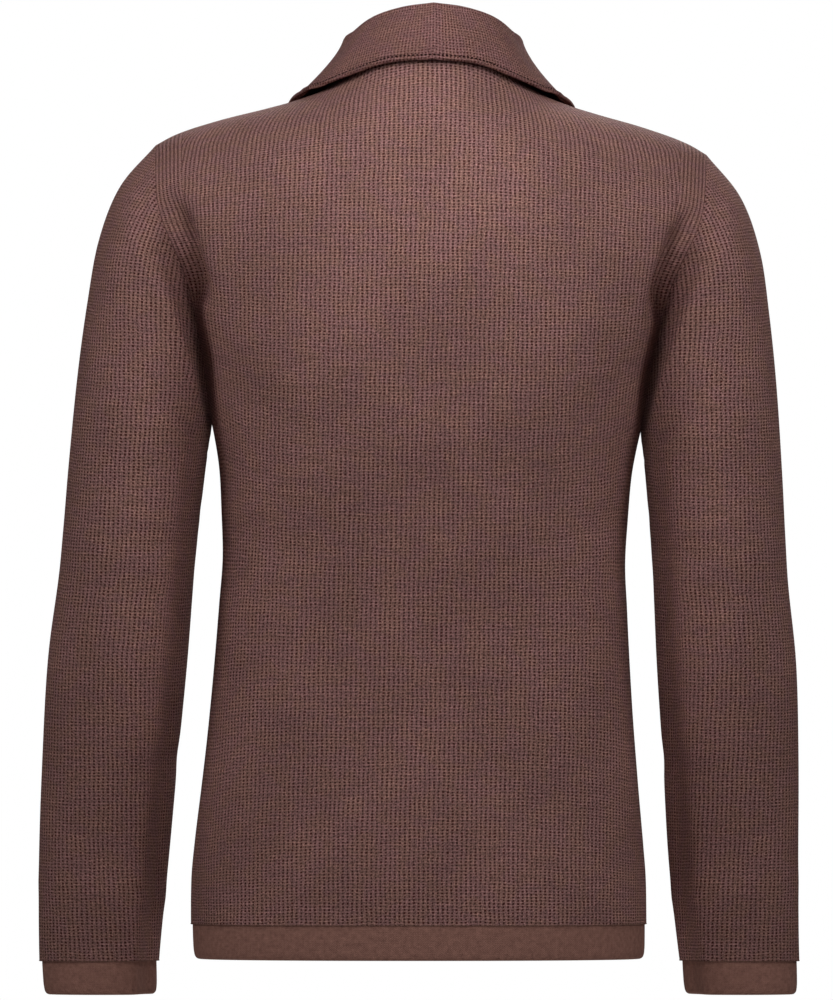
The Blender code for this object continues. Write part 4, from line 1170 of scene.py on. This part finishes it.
def collar_places():
    """Places at even lengths of seam, with one on the side of the neck."""
    behind, lapel = np.linspace(0, 1, BEHIND_SAMPLES), np.linspace(1, 2, LAPEL_SAMPLES)
    fine = np.concatenate([behind, lapel[1:]])
    length = along(seam_points(fine)[None], 1)[0]
    side = np.interp(1, fine, length)
    rest = length[-1] - side
    before = max(2, round(COLLAR_STATIONS * side / length[-1]))
    first = np.interp(np.linspace(0, side, before + 1), length, fine)
    first[-1] = 1
    share = spread(COLLAR_STATIONS - before, False, True, rest)[1:]
    return np.concatenate([first, np.interp(side + rest * share, length, fine)])


def collar_half(places, seam, normal, lift):
    """The middle line of the collar's wall at each place, from the seam to the edge."""
    size = {name: curve(places) for name, curve in collar_size.items()}
    fold, edge, bend = (
        np.stack([size[name] for name in names.split()], axis=-1)
        for names in ("fold_x fold_y fold_z", "edge_x edge_y edge_z", "reach reach drop")
    )
    edge, bend = edge[:, None], bend[:, None]
    roll, lies = size["roll"], size["lies"][:, None]
    half = COLLAR_WALL / 2

    start = seam - normal * half + normal * lift(seam)[:, None]
    fold = blend(fold, lay_on(fold, lift(fold) - half + roll), lies)
    rise = unit(fold - start)
    facing = blend(normal, form_normal(to_form(fold)), lies)
    out = unit(facing - rise * (facing * rise).sum(axis=-1, keepdims=True))
    out, rise, roll, lies = out[:, None], rise[:, None], roll[:, None, None], lies[:, None]

    share = np.linspace(0, 1, STAND_STEPS + 1)[:, None]
    stand = blend(start[:, None], fold[:, None] - out * roll, share)
    stand = blend(stand, lay_on(stand, lift(stand) - half), lies)
    turn = np.linspace(0, math.pi, ROLL_STEPS + 1)[1:, None]
    curl = stand[:, -1:] + out * roll * (1 - np.cos(turn)) + rise * roll * np.sin(turn)

    begin = curl[:, -1:]
    bend = begin + (edge - begin) * bend
    share = spread(FALL_STEPS, False, True, FALL_LENGTH)[1:, None]
    fall = (1 - share) ** 2 * begin + 2 * share * (1 - share) * bend + share**2 * edge
    fall = keep_outside(fall, lift(fall) + FALL_CLEARANCE + half)
    flat = lay_on(fall, lift(fall) + 2 * roll[..., 0] - half)
    return np.concatenate([stand, curl, blend(fall, flat, lies)], axis=1)


def left_lift(points):
    return lifted(points[..., 0], points[..., 2]) * (points[..., 1] < 0)


def no_lift(points):
    return np.zeros(points.shape[:-1])


# The rim is turned and stitched: a shallow trough under the stitches, then a full round edge.
EDGE_INSET = 3.9
TROUGH, TROUGH_WIDTH = 0.8, 0.9
BEAD, BEAD_FROM_EDGE, BEAD_WIDTH = 1.1, 1.7, 1.3

places = collar_places()
seam = seam_points(places)
seam_normal = body_normals(seam)
halves = [collar_half(places, seam, seam_normal, lift) for lift in (left_lift, no_lift)]
collar = np.concatenate([mirrored(halves[1])[:0:-1], halves[0]])
edge_normal = np.concatenate([mirrored(seam_normal)[:0:-1], seam_normal])
collar_normal = grid_normals(collar)
if (collar_normal[:, 0] * edge_normal).sum() < 0:
    collar_normal = -collar_normal
across = along(collar, 1)
to_edge = across[:, -1:] - across
rim_shape = BEAD * np.exp(-(((to_edge - BEAD_FROM_EDGE) / BEAD_WIDTH) ** 2))
rim_shape = rim_shape - TROUGH * np.exp(-(((to_edge - EDGE_INSET) / TROUGH_WIDTH) ** 2))
# The face that shows after the fold is the one that looked inwards on the stand.
shown = collar - collar_normal * (COLLAR_WALL / 2 + rim_shape)[..., None]
length = along(collar, 0)[:, -1:]
maps = (np.broadcast_to(length, across.shape), -across, np.full(across.shape, FAR))
pieces["shawl_collar"] = soft_wall("shawl_collar_strip", shown, -collar_normal, COLLAR_WALL,
                                   COLLAR_KNIT, maps, (FREE, FREE, SEWN, FREE))
print("collar edge:", round(float(length[-1, 0])), "mm")

# %% [markdown]
# ## Stitches
#
# Sewing and linking stitches repeat along a path, which is what Geometry Nodes are good at. The
# path is a poly curve that lies on the cloth. One tree turns it into points at an even pitch
# and puts a small rounded stitch on each one, turned along the path. The tree's inputs set the
# pitch, the length and the thickness, so the same tree makes the collar's edge stitching, the
# linked hem and cuff seams and the thread of the buttons and buttonholes.

# %% The stitch tree


def stitch_tree():
    tree, given = new_group(
        "stitches_on_path", "GeometryNodeTree",
        {"Path": "Geometry", "Pitch": "Float", "Length": "Float", "Thickness": "Float",
         "Slant": "Float", "Yarn": "Material"},
        {"Stitches": "Geometry"},
    )
    points = add_node(tree, "GeometryNodeCurveToPoints",
                      {"Curve": given["Path"], "Length": given["Pitch"]}, mode="LENGTH")
    ball = add_node(tree, "GeometryNodeMeshUVSphere",
                    {"Segments": 6, "Rings": 5, "Radius": 0.5})
    size = add_node(tree, "ShaderNodeCombineXYZ",
                    {0: given["Thickness"], 1: given["Thickness"], 2: given["Length"]})
    slant = add_node(tree, "ShaderNodeCombineXYZ", {1: given["Slant"]})
    stitch = add_node(tree, "GeometryNodeTransform",
                      {"Geometry": ball.outputs["Mesh"], "Scale": size.outputs[0],
                       "Rotation": slant.outputs[0]})
    made = add_node(tree, "GeometryNodeInstanceOnPoints",
                    {"Points": points.outputs["Points"], "Instance": stitch.outputs[0],
                     "Rotation": points.outputs["Rotation"]})
    for kind in ("RealizeInstances", "SetShadeSmooth", "SetMaterial"):
        made = add_node(tree, "GeometryNode" + kind, {0: made.outputs[0]})
    feed(tree, made, {"Material": given["Yarn"]})
    add_node(tree, "NodeGroupOutput", {"Stitches": made.outputs[0]})
    return tree


STITCH_TREE = stitch_tree()


def evaluated_mesh(thing):
    """The mesh that an object has after its modifiers."""
    graph = bpy.context.evaluated_depsgraph_get()
    return bpy.data.meshes.new_from_object(thing.evaluated_get(graph))


def stitched(name, paths, pitch, length, thickness, yarn, slant=0.0, cyclic=False):
    """A mesh of stitches along paths of millimetre points. Sizes are in millimetres."""
    curve = bpy.data.curves.new(name + "_path", "CURVE")
    curve.dimensions = "3D"
    for points in paths:
        spline = curve.splines.new("POLY")
        spline.points.add(len(points) - 1)
        placed = np.ones((len(points), 4))
        placed[:, :3] = stance(np.asarray(points)) * MM
        spline.points.foreach_set("co", placed.ravel())
        spline.use_cyclic_u = cyclic
    holder = add_object(name + "_path", curve)
    modifier = holder.modifiers.new("stitches", "NODES")
    modifier.node_group = STITCH_TREE
    values = {"Pitch": pitch * MM, "Length": length * MM, "Thickness": thickness * MM,
              "Slant": slant, "Yarn": yarn}
    for item in STITCH_TREE.interface.items_tree:
        if item.name in values:
            modifier[item.identifier] = values[item.name]
    mesh = evaluated_mesh(holder)
    bpy.data.objects.remove(holder)
    bpy.data.curves.remove(curve)
    mesh.name = name
    if not mesh.materials:
        mesh.materials.append(yarn)
    print(f"{name}: {len(mesh.polygons)} faces")
    return add_object(name, mesh)

# %% Edge stitching of the collar
EDGE_STITCH = {"pitch": 3.3, "length": 2.1, "thickness": 1.7}
line = [
    [np.interp(EDGE_INSET, from_edge[::-1], visible[::-1, axis]) for axis in range(3)]
    for from_edge, visible in zip(to_edge, shown)
]
collar_stitches = stitched("collar_edge_stitching", [line], yarn=DARK_YARN, **EDGE_STITCH)

# %% Linked seams of the hem and the cuffs
LINK = {"pitch": 2.4, "length": 2.5, "thickness": 1.1, "slant": 0.4}
PROUD = 0.25 - KNIT_WALL / 4
hem_lines = []
for row, lift, side in ((back[0], 0, 1), (front[0], 1, 1), (front[0], 0, -1)):
    out = PROUD + lift * lifted(row[:, 0], row[:, 2])[:, None]
    hem_lines += on_side(side, row + body_normals(row) * out)
hem_links = stitched("hem_linking", hem_lines, yarn=LINK_YARN, **LINK)
wrist = sleeve[-1] + cuff_normal[0] * PROUD
cuff_links = stitched("cuff_linking", [wrist, mirrored(wrist)], yarn=LINK_YARN, cyclic=True,
                      **LINK)

# %% [markdown]
# ## Buttons and buttonholes
#
# A horn button is turned on a lathe: a rounded rim, a dished middle and four drilled holes. It
# is made here the same way, by turning a profile, with the holes cut by a Boolean. The thread
# runs over the dish in two bars. A buttonhole is a slit, worked round with close stitches, so
# the stitch tree runs round a narrow loop.

# %% Buttons
BUTTON_RADIUS = 10.0
BUTTON_THICKNESS = 3.6
BUTTON_HOLE, BUTTON_HOLE_CIRCLE = 1.0, 2.5
BUTTON_SECTION = (
    (0.0, 0.0), (0.66, 0.0), (0.86, 0.12), (0.97, 0.34), (1.0, 0.55), (0.985, 0.8),
    (0.93, 0.96), (0.85, 1.0), (0.76, 0.94), (0.68, 0.8), (0.62, 0.7), (0.4, 0.63),
    (0.0, 0.6),
)
TURNED_STEPS, DRILL_STEPS = 56, 16
DRILL_FROM, DRILL_TO = -1, 5
BUTTON_SHARP_DEGREES = 40


def lathe(name, profile, steps):
    """A solid of revolution about Z from (radius, height) points."""
    angle = np.linspace(0, math.tau, steps, endpoint=False)
    points, faces, rings = [], [], []
    for radius, height in profile:
        if radius == 0:
            rings.append([len(points)] * steps)
            points.append((0.0, 0.0, height))
            continue
        rings.append(list(range(len(points), len(points) + steps)))
        points += [(radius * math.cos(a), radius * math.sin(a), height) for a in angle]
    for low, high in zip(rings[:-1], rings[1:]):
        for i in range(steps):
            j = (i + 1) % steps
            face = list(dict.fromkeys([low[i], low[j], high[j], high[i]]))
            if len(face) > 2:
                faces.append(face)
    mesh = bpy.data.meshes.new(name)
    mesh.from_pydata(points, [], faces)
    return add_object(name, mesh)


def drilled_button():
    """One button mesh at the origin, in millimetres."""
    section = [(r * BUTTON_RADIUS, h * BUTTON_THICKNESS) for r, h in BUTTON_SECTION]
    blank = lathe("button_blank", section, TURNED_STEPS)
    bore = [(0, DRILL_FROM), (BUTTON_HOLE, DRILL_FROM), (BUTTON_HOLE, DRILL_TO), (0, DRILL_TO)]
    things = [blank]
    for quarter in range(4):
        turn = math.pi / 4 + quarter * math.pi / 2
        drill = lathe("drill", bore, DRILL_STEPS)
        drill.location = (BUTTON_HOLE_CIRCLE * math.cos(turn),
                          BUTTON_HOLE_CIRCLE * math.sin(turn), 0)
        cut = blank.modifiers.new("hole", "BOOLEAN")
        cut.operation = "DIFFERENCE"
        cut.object = drill
        things.append(drill)
    mesh = evaluated_mesh(blank)
    for thing in things:
        bpy.data.objects.remove(thing)
    return mesh


def placed_mesh(name, mesh, centre, axes, finish):
    """A copy of a millimetre mesh, set in place in metres along three axes."""
    made = mesh.copy()
    made.name = name
    points = np.empty(len(made.vertices) * 3)
    made.vertices.foreach_get("co", points)
    points = centre + points.reshape(-1, 3) @ np.array(axes)
    made.vertices.foreach_set("co", (stance(points) * MM).ravel())
    made.materials.clear()
    shade(made, finish, BUTTON_SHARP_DEGREES)
    return add_object(name, made)


FIRST_BUTTON, BUTTON_SPACING, BUTTON_COUNT = -272.0, 88.0, 5
BUTTON_SEAT = 0.35
# A bar of thread across the button: shares of its half length, and heights over the dish.
THREAD = table("share rise", (-1.3, -1.4), (-1.0, -0.1), (-0.5, 0.25), (0.5, 0.25),
               (1.0, -0.1), (1.3, -1.4))
THREAD_HEIGHT = 0.66
THREAD_STITCH = {"pitch": 0.35, "length": 0.9, "thickness": 0.75}
LOOP_STITCH = {"pitch": 0.75, "length": 0.7, "thickness": 1.0}
LOOP_STEPS, LOOP_MIDDLE, LOOP_REACH, LOOP_HALF_WIDTH, LOOP_PROUD = 24, 3.0, 10.5, 1.1, 0.05


def band_point(x, z):
    """A point on the face of the buttonhole band."""
    point = on_form(x, z, True)
    return point + form_normal(point[None])[0] * float(overlap(z))


button_mesh = drilled_button()
thread_paths, hole_paths = [], []
to_left = np.array([1.0, 0.0, 0.0])
for number in range(1, BUTTON_COUNT + 1):
    z = FIRST_BUTTON - BUTTON_SPACING * (number - 1)
    upward = unit(band_point(0.0, z + BUTTON_RADIUS) - band_point(0.0, z - BUTTON_RADIUS))
    normal = unit(np.cross(to_left, upward))
    seat = band_point(0.0, z) + normal * BUTTON_SEAT
    pieces[f"button_{number}"] = placed_mesh(f"horn_button_{number}", button_mesh, seat,
                                             (to_left, upward, normal), HORN)
    reach = BUTTON_HOLE_CIRCLE * math.sqrt(0.5)
    top = seat + normal * (BUTTON_THICKNESS * THREAD_HEIGHT)
    for bar in (-reach, reach):
        thread_paths.append([top + to_left * bar + upward * (row.share * reach)
                             + normal * row.rise for row in THREAD])
    turns = np.arange(LOOP_STEPS) / LOOP_STEPS * math.tau
    hole_paths.append([
        band_point(LOOP_MIDDLE + LOOP_REACH * math.cos(turn),
                   z + LOOP_HALF_WIDTH * math.sin(turn)) + normal * LOOP_PROUD
        for turn in turns
    ])
button_threads = stitched("button_threads", thread_paths, yarn=DARK_YARN, **THREAD_STITCH)
buttonholes = stitched("buttonhole_stitches", hole_paths, yarn=LINK_YARN, cyclic=True,
                       **LOOP_STITCH)

# %% [markdown]
# ## Dressing the frame
#
# Each piece stands for one CAD node and rides on the part's only body.
# Every sheet of cloth also states the size that it was cut or knitted to before it was worn.

# %% Replace the plain nodes
for node, piece in pieces.items():
    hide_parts(node)
    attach(piece, "root")
for piece, finish in (
    (collar_stitches, "collar_knit"), (hem_links, "jersey_band"),
    (cuff_links, "jersey_band"), (button_threads, "collar_knit"),
    (buttonholes, "collar_knit"),
):
    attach(piece, "root")


def cut_of(grid):
    """Flat width, length and area of a knitted piece, in metres, from its grid."""
    width = along(grid, 1)[:, -1].max() * MM
    length = along(grid, 0)[-1].max() * MM
    a, b = grid[:-1, :-1], grid[1:, 1:]
    c, d = grid[:-1, 1:], grid[1:, :-1]
    area = np.linalg.norm(np.cross(b - a, d - c), axis=-1).sum() / 2 * MM**2
    return (round(float(width), 3), round(float(length), 3)), round(float(area), 4)


tube, wristband = looped(sleeve), looped(cuff)
SHEETS = {
    "back": back, "front_left": front, "front_right": front, "sleeve_left": tube,
    "sleeve_right": tube, "cuff_left": wristband, "cuff_right": wristband,
    "shawl_collar": collar, **strips,
}
for node, grid in SHEETS.items():
    flat, area = cut_of(grid)
    area = min(area, flat[0] * flat[1])
    print(node, "cut", flat, "m, area", area, "m2")

# %% [markdown]
# ## Floor, light and camera
#
# The garment is seen from behind, square on, from far enough away for its sides to stay
# parallel. A small lamp near the back and a long one overhead model the shoulders, and one on
# each side lights the sleeves, so that their inner faces turn dark. A weak lamp fills from
# below, and a broad one lights the front. The backdrop looks white, but throws almost no
# light. A pale floor lies where the wearer would stand.

# %% Floor
FLOOR_HEIGHT = -1.42
FLOOR_REACH = 9.0
FLOOR_GLOW = 0.75


def studio_floor():
    corners = [(x * FLOOR_REACH, y * FLOOR_REACH, FLOOR_HEIGHT)
               for x, y in ((-1, -1), (1, -1), (1, 1), (-1, 1))]
    mesh = bpy.data.meshes.new("studio_floor")
    mesh.from_pydata(corners, [], [(0, 1, 2, 3)])
    # The floor is lit on its own, like the backdrop, so that it looks pale in any view.
    looks = {"Base Color": linear("e6e4e1"), "Roughness": 0.9,
             "Emission Color": linear("f4f3f1")}
    material, tree, shader = painted("pale_studio_floor", looks)
    seen = add_node(tree, "ShaderNodeLightPath").outputs["Is Camera Ray"]
    glow = arithmetic(tree, "MULTIPLY", seen, FLOOR_GLOW)
    feed(tree, shader, {"Emission Strength": glow})
    mesh.materials.append(material)
    return add_object("studio_floor", mesh)


studio_floor()

# %% Light
LAMPS = table(
    "name place aim width height watts",
    ("key_behind_the_back", (0, 0.62, 0.25), (0, 0, -0.1), 0.3, 0.3, 1.5),
    ("overhead", (0, 0.9, 1.3), (0, 0, -0.1), 1.0, 0.5, 3.0),
    ("left_side", (1.3, 0.7, 0.6), (0, 0, -0.2), 0.7, 0.7, 6.3),
    ("right_side", (-1.3, 0.7, 0.6), (0, 0, -0.2), 0.7, 0.7, 6.3),
    ("low_fill", (0, 1.2, -0.9), (0, 0, -0.4), 1.1, 0.5, 1.3),
    ("front_fill", (-0.2, -1.5, 0.7), (0, 0, -0.2), 1.4, 0.9, 22),
)
TENT_BRIGHTNESS = 0.01
WHITE = (1, 1, 1, 1)


def facing(place, aim):
    """The rotation of a lamp that looks from one point to another."""
    return (Vector(aim) - Vector(place)).to_track_quat("-Z", "Y").to_euler()


for lamp in LAMPS:
    light = bpy.data.lights.new(lamp.name, "AREA")
    light.shape = "ELLIPSE"
    light.size = lamp.width
    light.size_y = lamp.height
    light.energy = lamp.watts
    thing = add_object(lamp.name, light)
    thing.location = lamp.place
    thing.rotation_euler = facing(lamp.place, lamp.aim)
    thing.visible_camera = False

# The backdrop is lit on its own, so it looks white but throws less light on the wool.
scene = bpy.context.scene
scene.world = bpy.data.worlds.new("studio_tent")
scene.world.use_nodes = True
tree = scene.world.node_tree
seen = add_node(tree, "ShaderNodeLightPath").outputs["Is Camera Ray"]
strength = arithmetic(tree, "MULTIPLY_ADD", seen, 1 - TENT_BRIGHTNESS, TENT_BRIGHTNESS)
feed(tree, tree.nodes["Background"], {"Color": WHITE, "Strength": strength})
scene.view_settings.view_transform = "Standard"

# %% Camera
VIEW_DISTANCE = 20.0
FRAME_HEIGHT = 0.770
FRAME_CENTRE = (0.0119, -0.308)
SENSOR = 36.0
camera = bpy.data.cameras.new("camera")
camera.sensor_width = SENSOR
camera.lens = SENSOR * VIEW_DISTANCE / FRAME_HEIGHT
camera.clip_end = 3 * VIEW_DISTANCE
scene.camera = add_object("camera", camera)
scene.camera.location = (FRAME_CENTRE[0], VIEW_DISTANCE, FRAME_CENTRE[1])
scene.camera.rotation_euler = (math.pi / 2, 0, math.pi)
